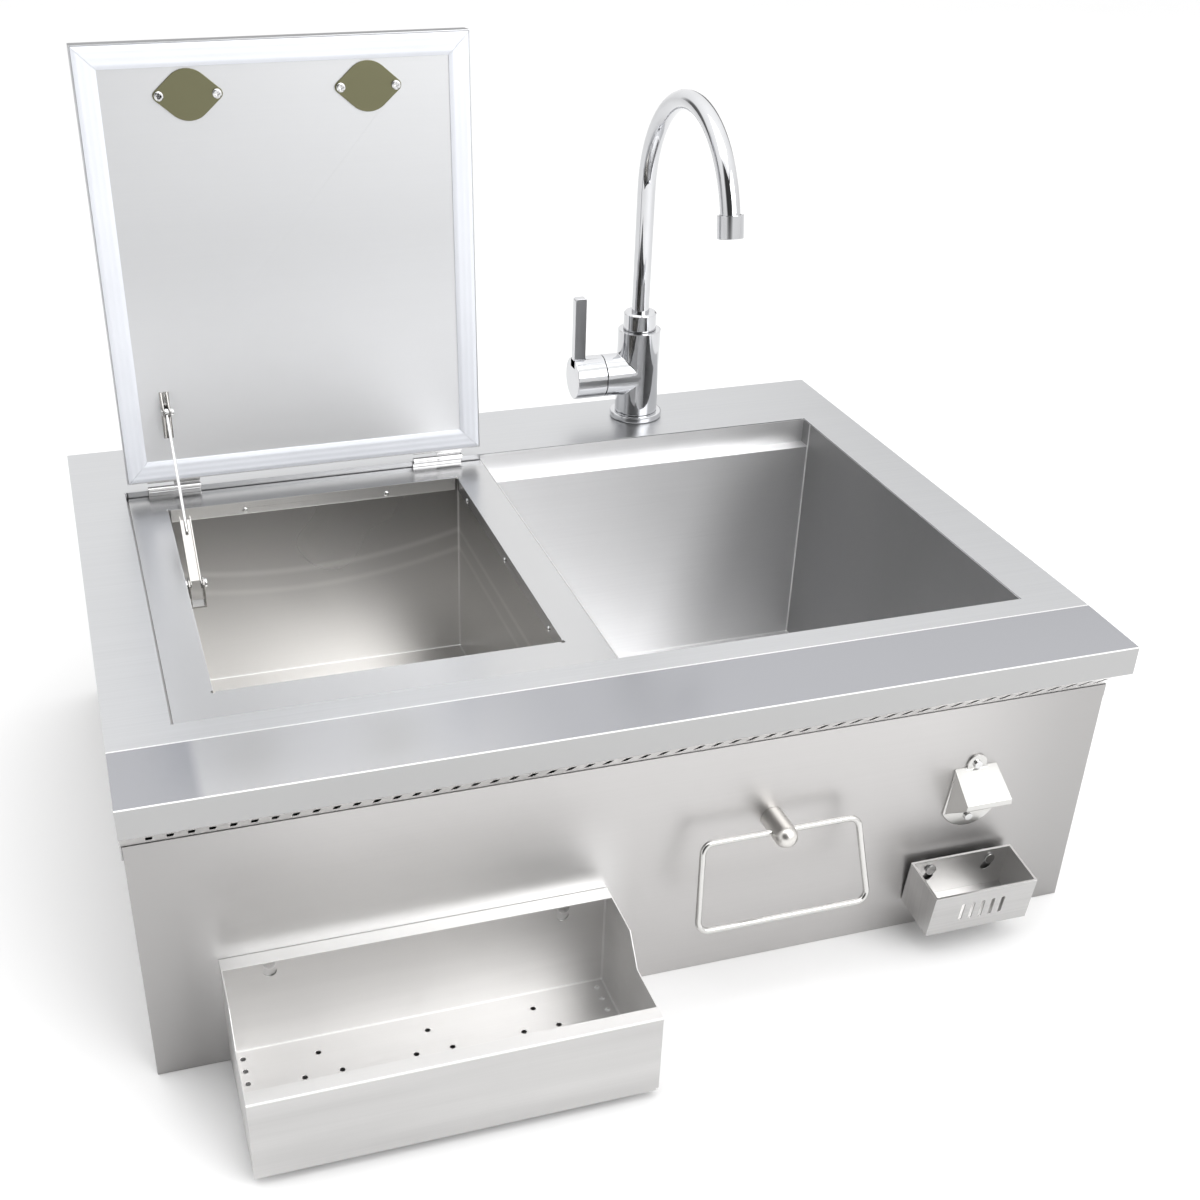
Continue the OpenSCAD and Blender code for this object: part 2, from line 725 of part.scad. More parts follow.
module bin_drain_body() {
    color("silver") translate([bin_cx, bin_cy, 0]) difference() {
        union() {
            rod_z(bin_flange_r, bin_floor, bin_floor + drain_flange_t);
            rod_z(bin_drain_r, shell_foot - bin_nut_t - gap, bin_floor + drain_flange_t);
            rod_z(bin_drain_r - tail_step, shell_foot - bin_drain_tail, bin_floor);
        }
        rod_z(bin_drain_r - bin_drain_wall, shell_foot - bin_drain_tail - over,
            bin_floor + drain_flange_t + over);
    }
}
module bin_drain_nut() {
    color("darkgray") translate([bin_cx, bin_cy, 0]) difference() {
        translate([0, 0, shell_foot - bin_nut_t])
            cylinder(r = bin_flange_r + 2, h = bin_nut_t, $fn = 6);
        rod_z(bin_drain_r + slip, shell_foot - bin_nut_t - over, shell_foot + over);
    }
}

// ---------------------------------------------------------------- lid

// Puts a piece drawn in the lid's frame on the open lid
module on_lid() {
    translate([lid_x, hinge_y, hinge_z]) rotate([90 - lid_lean, 0, 0]) children();
}

module lid_shell() {
    t = lid_sheet;
    color("gainsboro") on_lid() difference() {
        box([-lid_w / 2, lid_back, lid_out], [lid_w / 2, lid_s1, lid_in]);
        box([-lid_w / 2 + t, lid_back + t, lid_out + t], [lid_w / 2 - t, lid_s1 - t, lid_in + over]);
        for (s = [-1, 1]) rod_z(screw_r + slip, lid_out - over, lid_out + t + over, s * grip_dx, grip_s);
    }
}

module lid_core() {
    t = lid_sheet;
    color("lightyellow") on_lid() difference() {
        box([-lid_w / 2 + t, lid_back + t, lid_out + t], [lid_w / 2 - t, lid_s1 - t, lid_in - t]);
        for (s = [-1, 1]) rod_z(access_d / 2, lid_out, lid_in, s * grip_dx, grip_s);
        at_cover_screws() rod_z(2.5, lid_in - 9, lid_in);
        at_bracket_rivets() rod_z(3, lid_in - 6, lid_in);
    }
}

module lid_panel() {
    t = lid_sheet;
    color("silver") on_lid() difference() {
        box([-lid_w / 2 + t, lid_back + t, lid_in - t], [lid_w / 2 - t, lid_s1 - t, lid_in]);
        for (s = [-1, 1]) rod_z(access_d / 2, lid_out, lid_in + over, s * grip_dx, grip_s);
        at_cover_screws() rod_z(screw_thin + slip, lid_in - t - over, lid_in + over);
        at_bracket_rivets() rod_z(rivet_r + slip, lid_in - t - over, lid_in + over);
    }
}
module lid_gasket() {
    o = gasket_in;
    i = gasket_in + gasket_w;
    color("whitesmoke") on_lid() difference() {
        box([-lid_w / 2 + o, lid_back + o, lid_in], [lid_w / 2 - o, lid_s1 - o, lid_in + gasket_t]);
        box([-lid_w / 2 + i, lid_back + i, lid_in - over],
            [lid_w / 2 - i, lid_s1 - i, lid_in + gasket_t + over]);
    }
}

module at_cover_screws() {
    for (s = [-1, 1], k = [-1, 1])
        translate([s * grip_dx + k * cover_screw_dx, grip_s, 0]) children();
}

// Round plate with two small ears, joined by tangent lines
module cover_2d() {
    big = cover_d / 2;
    a = acos((big - cover_ear_r) / cover_screw_dx);
    dir = [cos(a), sin(a)];
    flip = [cos(a), -sin(a)];
    circle(r = big, $fn = 96);
    for (m = [0, 1]) mirror([m, 0]) {
        translate([cover_screw_dx, 0]) circle(r = cover_ear_r);
        polygon([big * dir, big * flip, [cover_screw_dx, 0] + cover_ear_r * flip,
            [cover_screw_dx, 0] + cover_ear_r * dir]);
    }
}
module lid_cover_plates() {
    color("darkkhaki") on_lid() difference() {
        for (s = [-1, 1]) translate([s * grip_dx, grip_s, lid_in]) linear_extrude(1.2) cover_2d();
        at_cover_screws() rod_z(screw_thin + slip, lid_in - over, lid_in + 1.2 + over);
    }
}
module cover_plate_screws() {
    z = lid_in + 1.2;
    color("silver") on_lid() at_cover_screws() difference() {
        union() {
            rod_z(screw_thin, z - 8, z);
            rod_z(3.8, z, z + 2);
            translate([0, 0, z + 2]) cylinder(r1 = 3.8, r2 = 2.8, h = 0.6);
        }
        for (a = [0, 90]) rotate(a) box([-2, -0.5, z + 1], [2, 0.5, z + 3]);
    }
}

module lid_handle() {
    r = grip_d / 2;
    z = lid_out - grip_out;
    color("gainsboro") on_lid() difference() {
        union() {
            rod_x(r, -grip_dx + grip_bend, grip_dx - grip_bend, grip_s, z);
            for (s = [-1, 1]) scale([s, 1, 1]) {
                rod_z(r, z + grip_bend, lid_out, grip_dx, grip_s);
                translate([grip_dx - grip_bend, grip_s, z + grip_bend]) rotate([90, 0, 0])
                    rotate_extrude(angle = -90) translate([grip_bend, 0]) circle(r = r);
            }
        }
        for (s = [-1, 1]) rod_z(screw_r + slip, lid_out - 11, lid_out + over, s * grip_dx, grip_s);
    }
}
module handle_screws() {
    color("silver") on_lid() for (s = [-1, 1]) translate([s * grip_dx, grip_s, 0]) {
        rod_z(screw_r, lid_out - 10, lid_out + lid_sheet);
        rod_z(4.5, lid_out + lid_sheet, lid_out + lid_sheet + 3);
    }
}

// ---------------------------------------------------------------- hinges

// The fixed half of each knuckle is on the left of the hinge's middle, the lid's half on the right
module hinge_fixed_leaves() {
    r = knuckle_d / 2;
    half = hinge_len / 2;
    color("silver") for (s = [-1, 1]) translate([lid_x + s * hinge_dx, 0, 0]) {
        box([-half, rec_y1 - leaf_t, deck_z - rim_h + 2], [half, rec_y1, hinge_z - r - 1]);
        box([-half, rec_y1 - leaf_t, hinge_z - r - 1], [-gap / 2, rec_y1, hinge_z]);
        difference() {
            rod_x(r, -half, -gap / 2, hinge_y, hinge_z);
            rod_x(hinge_pin_d / 2 + pin_gap / 2, -half - over, over, hinge_y, hinge_z);
        }
    }
}
module hinge_lid_leaves() {
    r = knuckle_d / 2;
    half = hinge_len / 2;
    color("silver") on_lid() for (s = [-1, 1]) translate([s * hinge_dx, 0, 0]) {
        box([-half, lid_back - leaf_t, lid_out + 0.5], [half, lid_back, lid_in - 0.5]);
        box([gap / 2, r * 0.5, -r], [half, lid_back, leaf_t - r]);
        difference() {
            rod_x(r, gap / 2, half);
            rod_x(hinge_pin_d / 2 + pin_gap, -over, half + over);
        }
    }
}
module hinge_pins() {
    half = hinge_len / 2;
    color("darkgray") for (s = [-1, 1]) translate([lid_x + s * hinge_dx, 0, 0])
        rod_x(hinge_pin_d / 2, -half, half, hinge_y, hinge_z);
}

// ---------------------------------------------------------------- lid stay

module at_bracket_rivets() {
    for (s = [stay_s - 19.4, stay_s + 11.4]) translate([stay_x - lid_x, s, 0]) children();
}

// Small U bracket on the lid panel, with its rivets
module stay_upper_bracket() {
    z = lid_in;
    side = [[stay_s - 26, z], [stay_s + 16, z], [stay_s + 16, z + 2.5], [stay_s + 6, stay_n + 2],
        [stay_s + 3, stay_n + 4], [stay_s - 3, stay_n + 4], [stay_s - 6, stay_n + 2],
        [stay_s - 26, z + 2.5]];
    color("silver") on_lid() {
        difference() {
            translate([stay_x - lid_x, 0, 0]) {
                box([-4.2, stay_s - 26, z], [4.2, stay_s + 16, z + ear_t]);
                for (m = [0, 1]) mirror([m, 0, 0]) run_x(ear_in, ear_in + ear_t) polygon(side);
            }
            rod_x(stay_pin_r + slip, stay_x - lid_x - 9, stay_x - lid_x + 9, stay_s, stay_n);
        }
        at_bracket_rivets() {
            rod_z(rivet_r, z - lid_sheet, z + ear_t);
            rod_z(ear_in - slip, z + ear_t, z + ear_t + 1.2);
            rod_z(2.4, z - lid_sheet - 1.5, z - lid_sheet);
        }
    }
}
module stay_upper_pin() {
    e = ear_in + ear_t;
    color("gainsboro") on_lid() translate([stay_x - lid_x, stay_s, stay_n]) {
        rod_x(stay_pin_r, -e - 0.8, e + 1);
        rod_x(stay_pin_r + 1, e + slip, e + 3);
        rod_x(stay_pin_r + 1, -e - 1.3, -e - slip);
    }
}

// Places a piece drawn from a pivot at its origin, running along +Y, on the open stay
module along_stay(y, z, turn) {
    translate([stay_x, y, z]) rotate([turn, 0, 0]) children();
}
module stay_rod() {
    color("whitesmoke") along_stay(up_y, up_z, stay_angle + 180) difference() {
        union() {
            rod_y(rod_d / 2, 2, rod_len);
            rod_x(stay_pin_r + 1.6, -eye_w / 2, eye_w / 2);
        }
        rod_x(stay_pin_r + pin_gap, -eye_w, eye_w);
    }
}
module stay_channel() {
    w = channel_w / 2;
    u = [[-w, 4.5], [-w, -3.5], [w, -3.5], [w, 4.5]];
    color("gainsboro") along_stay(low_y, low_z, stay_angle) difference() {
        union() {
            run_y(stay_pin_r + 2, channel_len) bent(u, channel_t);
            for (s = [-1, 1]) scale([s, 1, 1]) {
                rod_x(4.5, w - channel_t, w);
                box([w - channel_t, 0, -3.5], [w, stay_pin_r + 3, 4.5]);
            }
        }
        rod_x(stay_pin_r + pin_gap, -w - over, w + over);
    }
}

module at_stay_rivets() {
    for (y = [-7, 7]) translate([bin_x0 - liner_t, low_y + y, low_z - 9]) children();
}
// Clevis hung from a plate on the liner's left wall, with its rivets
module stay_lower_bracket() {
    x0 = bin_x0 - liner_t;
    t = clevis_t;
    foot = low_z - clevis_drop;
    ear = [[low_y - 6.5, foot], [low_y + 6.5, foot], [low_y + 6.5, low_z + 1],
        [low_y + 3, low_z + 5], [low_y - 3, low_z + 5], [low_y - 6.5, low_z + 1]];
    color("silver") {
        difference() {
            union() {
                box([x0, low_y - 11, foot], [x0 + ear_t, low_y + 11, frame_top - lip_h - gap]);
                box([x0, low_y - 6.5, foot], [stay_x + clevis_in + t, low_y + 6.5, foot + t]);
                for (m = [0, 1]) translate([stay_x, 0, 0]) mirror([m, 0, 0])
                    run_x(clevis_in, clevis_in + t) polygon(ear);
            }
            rod_x(stay_pin_r + slip, stay_x - 12, stay_x + 12, low_y, low_z);
        }
        at_stay_rivets() {
            rod_x(rivet_r, -liner_t, ear_t);
            rod_x(2.4, -liner_t - 1.5, -liner_t);
            rod_x(2.8, ear_t, ear_t + 0.8);
        }
    }
}
module stay_lower_pins() {
    e = clevis_in + clevis_t;
    color("gainsboro") for (s = [-1, 1]) translate([stay_x, low_y, low_z]) scale([s, 1, 1]) {
        rod_x(stay_pin_r, channel_w / 2 - channel_t, e + 1.5);
        rod_x(stay_pin_r + 1.6, e + slip, e + 2.6);
    }
}

// ---------------------------------------------------------------- faucet

module at_tap() {
    translate([tap_x, tap_y, 0]) children();
}
module faucet_base_ring() {
    color("whitesmoke") at_tap() difference() {
        rod_z(tap_ring_d / 2, deck_z, deck_z + tap_ring_h, $fn = 96);
        rod_z(shank_d / 2 + slip, deck_z - over, deck_z + tap_ring_h + over);
    }
}
module faucet_body() {
    foot = deck_z + tap_ring_h;
    color("whitesmoke") at_tap() difference() {
        union() {
            rod_z(tap_body_d / 2, foot, tap_top, $fn = 96);
            rod_x(valve_d / 2, -valve_out, 0, 0, valve_h, $fn = 96);
        }
        rod_z(stem_r + pin_gap, tap_top - stem_h - gap, tap_top + over);
        rod_x(cartridge_r + 0.2, -valve_out - over, -10, 0, valve_h);
        rod_x(9, -12, 8, 0, valve_h);
        rod_z(4, valve_h, tap_top - stem_h);
        rod_z(shank_d / 2 + slip, foot - over, foot + 12);
        for (s = [-1, 1]) rod_z(3, foot, valve_h, s * inlet_dx);
    }
}
module faucet_shank() {
    foot = deck_z - shank_len;
    top = deck_z + tap_ring_h + 12;
    color("silver") at_tap() difference() {
        rod_z(shank_d / 2, foot, top);
        for (s = [-1, 1]) {
            rod_z(inlet_r, foot - over, foot + 15, s * inlet_dx);
            rod_z(3, foot, top + over, s * inlet_dx);
        }
    }
}
module shank_washer() {
    z = deck_z - deck_t;
    color("dimgray") at_tap() difference() {
        rod_z(shank_d / 2 + 13, z - 3, z);
        rod_z(shank_d / 2 + slip, z - 3 - over, z + over);
    }
}
module shank_nut() {
    z = deck_z - deck_t - 3;
    color("darkgoldenrod") at_tap() difference() {
        translate([0, 0, z - 9]) cylinder(r = shank_d / 2 + 7, h = 9, $fn = 6);
        rod_z(shank_d / 2 + slip, z - 9 - over, z + over);
    }
}
module valve_cartridge() {
    color("white") at_tap() {
        rod_x(cartridge_r, -valve_out + 1, -10, 0, valve_h);
        rod_x(spindle_r, -valve_out - 13, -valve_out + 1, 0, valve_h);
    }
}
module handle_cap() {
    zp = valve_h + lever_up;
    half = lever_w / 2 + gap;
    foot = lever_t / 2 + gap;
    color("whitesmoke") difference() {
        rod_x(valve_d / 2, cap_x0, cap_x1, tap_y, valve_h, $fn = 96);
        rod_x(spindle_r + gap, cap_x1 - 14, cap_x1 + over, tap_y, valve_h);
        box([cap_x0 - over, tap_y - half, zp], [lever_x + foot, tap_y + half, zp + 30]);
        rod_y(foot, tap_y - half, tap_y + half, lever_x, zp);
        rod_y(lever_pin_r + slip, tap_y - lever_pin_half, tap_y + valve_d, lever_x, zp);
    }
}
module lever_pin() {
    h = lever_pin_half;
    color("silver") rod_y(lever_pin_r, tap_y - h, tap_y + h, lever_x, valve_h + lever_up);
}
module faucet_lever() {
    zp = valve_h + lever_up;
    t = lever_t / 2;
    top = deck_z + lever_top;
    color("whitesmoke") difference() {
        run_y(tap_y - lever_w / 2, tap_y + lever_w / 2) translate([lever_x, 0]) {
            translate([0, zp]) circle(r = t);
            polygon([[-t, zp], [t, zp], [t, top - 1.5], [t - 1.5, top], [1.5 - t, top], [-t, top - 1.5]]);
        }
        rod_y(lever_pin_r + pin_gap, tap_y - 30, tap_y + 30, lever_x, zp);
    }
}

// Middle line of the spout: up, over the bow, down to the outlet
module spout_line(r) {
    rod_z(r, tap_top - stem_h, deck_z + bow_z);
    translate([0, -bow_r, deck_z + bow_z]) rotate([90, 0, 90])
        rotate_extrude(angle = 180 - outlet_lean, $fn = 96) translate([bow_r, 0]) circle(r = r);
}
module faucet_spout() {
    color("whitesmoke") at_tap() difference() {
        union() {
            spout_line(tube_d / 2);
            rod_z(stem_r, tap_top - stem_h, tap_top + gap + 1);
            rod_z(collar_d / 2, tap_top + gap, tap_top + gap + collar_h, $fn = 96);
        }
        spout_line(tube_bore / 2);
    }
}
module spout_aerator() {
    mid = [-bow_r - bow_r * cos(outlet_lean), deck_z + bow_z + bow_r * sin(outlet_lean)];
    half = aerator_h / 2;
    color("whitesmoke") at_tap() translate([0, mid[0], mid[1]]) rotate([-outlet_lean, 0, 0])
        difference() {
            rod_z(aerator_d / 2, -half, half, $fn = 96);
            rod_z(tube_d / 2 + aerator_gap, 0, half + over);
            rod_z(tube_bore / 2, -half - over, over);
            rod_z(aerator_d / 2 - 2, -half - over, 2 - half);
        }
}

// ---------------------------------------------------------------- front accessories

// Screw through the face panel, with its head in front; y is the back of the head
module face_screw(r, head_r, head_t, y, x, z) {
    rod_y(r, y - over, lap_y + 7, x, z);
    rod_y(head_r, y - head_t, y, x, z);
}
module rail_hanger_screws() {
    color("silver") for (s = [-1, 1])
        face_screw(hang_r, hang_head_r, hang_head_t, face_y - rail_t - 2 * gap,
            rail_x + s * rail_hang_dx, rail_hang_z);
}
module catcher_hanger_screws() {
    color("silver") for (s = [-1, 1])
        face_screw(hang_r, hang_head_r, hang_head_t, catcher_hang_y - rail_t - 3 * gap,
            catcher_x + s * catcher_hang_dx, catcher_hang_z);
}
module hanger_nuts() {
    color("darkgray") for (s = [-1, 1], p = [[rail_x + s * rail_hang_dx, rail_hang_z],
            [catcher_x + s * catcher_hang_dx, catcher_hang_z]])
        difference() {
            translate([p[0], lap_y + 3.5, p[1]]) rotate([90, 0, 0]) cylinder(r = 4.6, h = 3.5, $fn = 6);
            rod_y(hang_r + slip, lap_y - over, lap_y + 5, p[0], p[1]);
        }
}

// Drain holes: a row at each end and groups of four between them
module rail_holes_2d() {
    for (s = [-1, 1], k = [0 : 4]) translate([s * (rail_w / 2 - 8.5), -10 - 12.8 * k]) circle(r = 2);
    for (i = [-1 : 1], p = [[0, -18.5], [-13.9, -40.5], [13.9, -40.5], [0, -62.5]])
        translate([i * rail_group, 0] + p) circle(r = 2);
}
module speed_rail() {
    t = rail_t;
    y1 = face_y - gap;
    y0 = face_y - rail_out;
    front_z = rail_z0 + rail_front_h;
    hollow = [[y1, rail_z1], [y1 - 52, rail_z1], [y1 - 70, front_z], [y0, front_z], [y0, rail_z0],
        [y1, rail_z0]];
    color("lightgray") translate([rail_x, 0, 0]) difference() {
        union() {
            run_x(-rail_w / 2, rail_w / 2) difference() {
                polygon(hollow);
                polygon([[y1 - t, rail_z1 - t], [y1 - t, rail_z0 + t], [y0 + t, rail_z0 + t],
                    [y0 + t, front_z - t], [y0 + rail_fold, front_z - t], [y0 + rail_fold, rail_z1 + over],
                    [y1 - rail_fold, rail_z1 + over], [y1 - rail_fold, rail_z1 - t]]);
            }
            for (s = [-1, 1]) scale([s, 1, 1]) run_x(rail_w / 2 - t, rail_w / 2) polygon(hollow);
        }
        for (s = [-1, 1]) translate([s * rail_hang_dx, 0, rail_hang_z])
            run_y(y1 - t - over, y1 + over) keyhole_2d(hang_r + gap, hang_head_r + gap);
        translate([0, face_y, rail_z0 - over]) linear_extrude(t + 2 * over) rail_holes_2d();
    }
}

// Open box hung with its top leaning out, with a hem inside its mouth and plain slots in the front
module cap_catcher() {
    t = rail_t;
    w = catcher_w / 2;
    color("lightgray") translate([catcher_x, face_y - gap, catcher_z0]) rotate([catcher_lean, 0, 0])
        difference() {
            box([-w, -catcher_d, 0], [w, 0, catcher_h]);
            box([-w + t, -catcher_d + t, t], [w - t, -t, catcher_h - catcher_hem]);
            box([-w + 2 * t, -catcher_d + 2 * t, t], [w - 2 * t, -2 * t, catcher_h + over]);
            for (s = [-1, 1]) translate([s * catcher_hang_dx, 0, catcher_hang_up])
                run_y(-t - over, over) keyhole_2d(hang_r + gap, hang_head_r + gap);
            run_y(-catcher_d - over, t - catcher_d + over)
                for (i = [-2 : 2]) translate([i * 9, catcher_h / 2]) slot_2d(3, 18);
        }
}

// Opener: a plate with a tab above and a round foot, and a hood with side webs
module opener_base_2d() {
    foot_w = 23;
    top_w = 18.5;
    z1 = opener_z1 - 13;
    z0 = opener_z0 + 14;
    r = (foot_w * foot_w + 14 * 14) / 28;
    translate([0, opener_z1 - 8.5]) circle(r = 8.5);
    translate([-8.5, z1]) square([17, 5]);
    polygon([[-top_w, z1], [-foot_w, z0], [foot_w, z0], [top_w, z1]]);
    intersection() {
        translate([0, opener_z0 + r]) circle(r = r, $fn = 96);
        translate([-foot_w, opener_z0]) square([2 * foot_w, z0 - opener_z0]);
    }
}
// The hood as a solid, shrunk by t on its sides and top
module hood_form(t) {
    z1 = opener_z1 - 11;
    intersection() {
        run_x(-40, 40) polygon([[face_y, z1 - 1.2 * t], [face_y - hood_out + t, z1 - 18 - t],
            [face_y - hood_out + t, z1 - 23 - 3 * t], [face_y - opener_t, z1 - 42 - 3 * t],
            [face_y, z1 - 42 - 3 * t]]);
        run_y(face_y - 60, face_y + over) polygon([[-18.5 + t, z1 + over], [-22 + t, z1 - 50],
            [22 - t, z1 - 50], [18.5 - t, z1 + over]]);
    }
}
module opener_plate() {
    color("whitesmoke") difference() {
        translate([opener_x, 0, 0]) {
            run_y(face_y - opener_t, face_y) opener_base_2d();
            difference() {
                hood_form(0);
                hood_form(opener_t);
            }
            rod_y(2, face_y - 9, face_y, 0, opener_z1 - 38);
        }
        for (z = opener_screw_z)
            rod_y(opener_screw_r + slip, face_y - opener_t - over, face_y + over, opener_x, z);
    }
}
module opener_screws() {
    color("silver") for (z = opener_screw_z) {
        rod_y(opener_screw_r, face_y - opener_t - 1, lap_y + 9, opener_x, z);
        rod_y(3.4, face_y - opener_t - 2.2, face_y - opener_t, opener_x, z);
    }
}

module towel_post() {
    color("gainsboro") translate([post_x, 0, post_z]) difference() {
        union() {
            rod_y(post_d / 2, face_y - post_out, face_y);
            translate([0, face_y - post_out, 0]) sphere(d = post_d);
        }
        rod_x(ring_d / 2 + pin_gap, -20, 20, ring_y);
        rod_y(screw_r + slip, face_y - 11, face_y + over);
    }
}
module towel_post_screw() {
    color("silver") translate([post_x, 0, post_z]) {
        rod_y(screw_r, face_y - 10, lap_y);
        rod_y(4.5, lap_y, lap_y + 3);
    }
}

// Straight rods and bends in the ring's own plane, hung from its axis
module towel_ring() {
    r = ring_d / 2;
    b = ring_bend;
    top_cut = b * tan((90 - ring_slope) / 2);
    foot_cut = b * tan((90 + ring_slope) / 2);
    side_len = ring_h / cos(ring_slope) - top_cut - foot_cut;
    color("gainsboro") translate([post_x, ring_y, post_z]) rotate([-ring_swing, 0, 0]) {
        rod_x(r, top_cut - ring_top_w / 2 - lap, ring_top_w / 2 - top_cut + lap);
        rod_x(r, foot_cut - ring_foot_w / 2 - lap, ring_foot_w / 2 - foot_cut + lap, 0, -ring_h);
        for (s = [-1, 1]) scale([s, 1, 1]) {
            translate([ring_top_w / 2 - top_cut, 0, -b]) rotate([90, 0, 0])
                rotate([0, 0, ring_slope]) rotate_extrude(angle = 90 - ring_slope)
                    translate([b, 0]) circle(r = r + swell);
            translate([ring_foot_w / 2 - foot_cut, 0, b - ring_h]) rotate([90, 0, 0])
                rotate([0, 0, -90]) rotate_extrude(angle = 90 + ring_slope)
                    translate([b, 0]) circle(r = r + swell);
            translate([ring_top_w / 2 + top_cut * sin(ring_slope), 0, -top_cut * cos(ring_slope)])
                rotate([0, 180 - ring_slope, 0]) rod_z(r, -lap, side_len + lap);
        }
    }
}

deck_top();
deck_stiffener();
front_panel();
left_panel();
right_panel();
back_panel();
sink_bowl();
sink_drain_body();
sink_drain_gasket();
sink_drain_nut();
drain_strainer();
bin_frame();
bin_ledge();
bin_rivets();
bin_liner();
bin_insulation();
bin_shell();
bin_drain_body();
bin_drain_nut();
lid_shell();
lid_core();
lid_panel();
lid_gasket();
lid_cover_plates();
cover_plate_screws();
lid_handle();
handle_screws();
hinge_fixed_leaves();
hinge_lid_leaves();
hinge_pins();
stay_upper_bracket();
stay_upper_pin();
stay_rod();
stay_channel();
stay_lower_bracket();
stay_lower_pins();
faucet_base_ring();
faucet_body();
faucet_shank();
shank_washer();
shank_nut();
valve_cartridge();
handle_cap();
lever_pin();
faucet_lever();
faucet_spout();
spout_aerator();
opener_plate();
opener_screws();
towel_post();
towel_post_screw();
towel_ring();
rail_hanger_screws();
catcher_hanger_screws();
hanger_nuts();
speed_rail();
cap_catcher();
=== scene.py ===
"""Bar sink with an ice bin: the finishes and finer shapes of its pieces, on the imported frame."""
import json
import math

import bpy
from mathutils import Matrix, Vector

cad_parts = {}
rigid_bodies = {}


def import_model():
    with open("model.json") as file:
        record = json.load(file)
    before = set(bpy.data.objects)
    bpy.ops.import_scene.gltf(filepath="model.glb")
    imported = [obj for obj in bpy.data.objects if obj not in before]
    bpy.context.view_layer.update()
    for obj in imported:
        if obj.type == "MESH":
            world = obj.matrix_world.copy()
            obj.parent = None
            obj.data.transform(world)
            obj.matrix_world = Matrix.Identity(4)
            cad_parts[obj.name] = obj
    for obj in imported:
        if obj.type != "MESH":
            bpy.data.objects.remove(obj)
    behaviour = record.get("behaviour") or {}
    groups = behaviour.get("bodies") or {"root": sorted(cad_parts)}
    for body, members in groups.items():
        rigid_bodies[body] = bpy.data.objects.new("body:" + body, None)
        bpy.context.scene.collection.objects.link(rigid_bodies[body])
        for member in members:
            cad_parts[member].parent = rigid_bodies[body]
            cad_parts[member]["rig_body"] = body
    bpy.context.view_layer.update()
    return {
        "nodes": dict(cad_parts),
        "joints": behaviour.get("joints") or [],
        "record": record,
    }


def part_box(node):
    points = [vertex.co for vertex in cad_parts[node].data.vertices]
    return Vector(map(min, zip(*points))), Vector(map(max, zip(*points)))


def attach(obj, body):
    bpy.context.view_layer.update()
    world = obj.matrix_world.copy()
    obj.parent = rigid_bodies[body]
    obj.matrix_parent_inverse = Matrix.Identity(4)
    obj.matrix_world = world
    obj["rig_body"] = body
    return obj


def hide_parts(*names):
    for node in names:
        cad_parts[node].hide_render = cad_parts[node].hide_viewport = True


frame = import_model()
NODES = frame["nodes"]
JOINTS = {joint["name"]: joint for joint in frame["joints"]}
SLOTS = {part["node"]: part["material_slot"] for part in frame["record"]["subparts"]}

MM = 0.001
X_AXIS, Y_AXIS, Z_AXIS = Vector((1, 0, 0)), Vector((0, 1, 0)), Vector((0, 0, 1))

# Camera, from the photograph's perspective
CAMERA_PLACE = Vector((-366.43, -1077.03, 842.97)) * MM
CAMERA_YAW = math.radians(16.93)
CAMERA_PITCH = math.radians(31.80)
CAMERA_ROLL = math.radians(0.542)
CAMERA_LENS = 46.265
CAMERA_SENSOR = 36
CAMERA_SHIFT = (0.0694, 0.0748)
CAMERA_REACH = 100

# The floor
FLOOR_SIZE = 30
FLOOR_GAP = 0.3 * MM
FLOOR_TONES = (0.82, 0.82, 0.82, 1), (0.84, 0.84, 0.84, 1)
FLOOR_CLOUDS = (2, 2, 2)

# The room's dark patches: the way to the middle, how steep the edge is, where it starts, and the depth.
# One lies behind the camera, the other low at the back on both sides.
DARK_PATCH = (Vector((-0.459, -0.734, 0.5)), 8, 6.24, 0.95)
BACK_PATCH = (Vector((0.616, 0.78, 0.1)), 35, 33.5, 0.85)
ROOM_LIGHT = 1.05
ROOM_RISE = 0.5

# Soft boxes: place, what it faces, width, height and power
SOFT_BOXES = {
    "overhead": ((-0.3, -0.3, 2.6), (0, 0, 0), 2.4, 2.0, 20),
    "front": ((1.05, -1.8, 1.65), (0, 0, 0.25), 1.9, 1.5, 27),
}

# Faucet spout and its bow
TUBE_R = 8.5 * MM
BOW_R = 97.3 * MM
BOW_Z = 480.9 * MM
OUTLET_LEAN = math.radians(9.9)
COLLAR_R = 16 * MM
COLLAR_H = 17 * MM
COLLAR_CUT = 1.6 * MM
COLLAR_EASE = 0.35 * MM
TUBE_LAP = 1 * MM

# Towel ring, in its own plane below its axis
RING_R = 2.5 * MM
RING_TOP = 64 * MM
RING_FOOT = 71.5 * MM
RING_DROP = 71 * MM
RING_BEND = 8.5 * MM
RING_SWING = math.radians(15.4)

# Lid, in its own frame: X across, Y from the hinge to the free edge, Z towards the bin
LID_X = -168.75 * MM
LID_LEAN = math.radians(4)
LID_HALF = 163.25 * MM
LID_BACK = 8.3 * MM
LID_END = 373 * MM
LID_IN = 3.7 * MM
LID_OUT = -14.3 * MM
GASKET_IN = 1.5 * MM
GASKET_W = 17.5 * MM
GASKET_T = 3 * MM
GASKET_RIBS = 3
GASKET_FACE = 0.86
GASKET_RIB = 0.06
GASKET_EDGE = 0.4
GASKET_SHOULDER = 0.25
MITRE_GAP = 0.15 * MM
GRIP_DX = 74.35 * MM
GRIP_S = 332.5 * MM
GRIP_R = 5 * MM
GRIP_OUT = 26 * MM
GRIP_BEND = 13 * MM

# Sheet of the bowl and the bin, and the step behind the bowl
SHEET = 1.2 * MM
STEP_W = 14.2 * MM

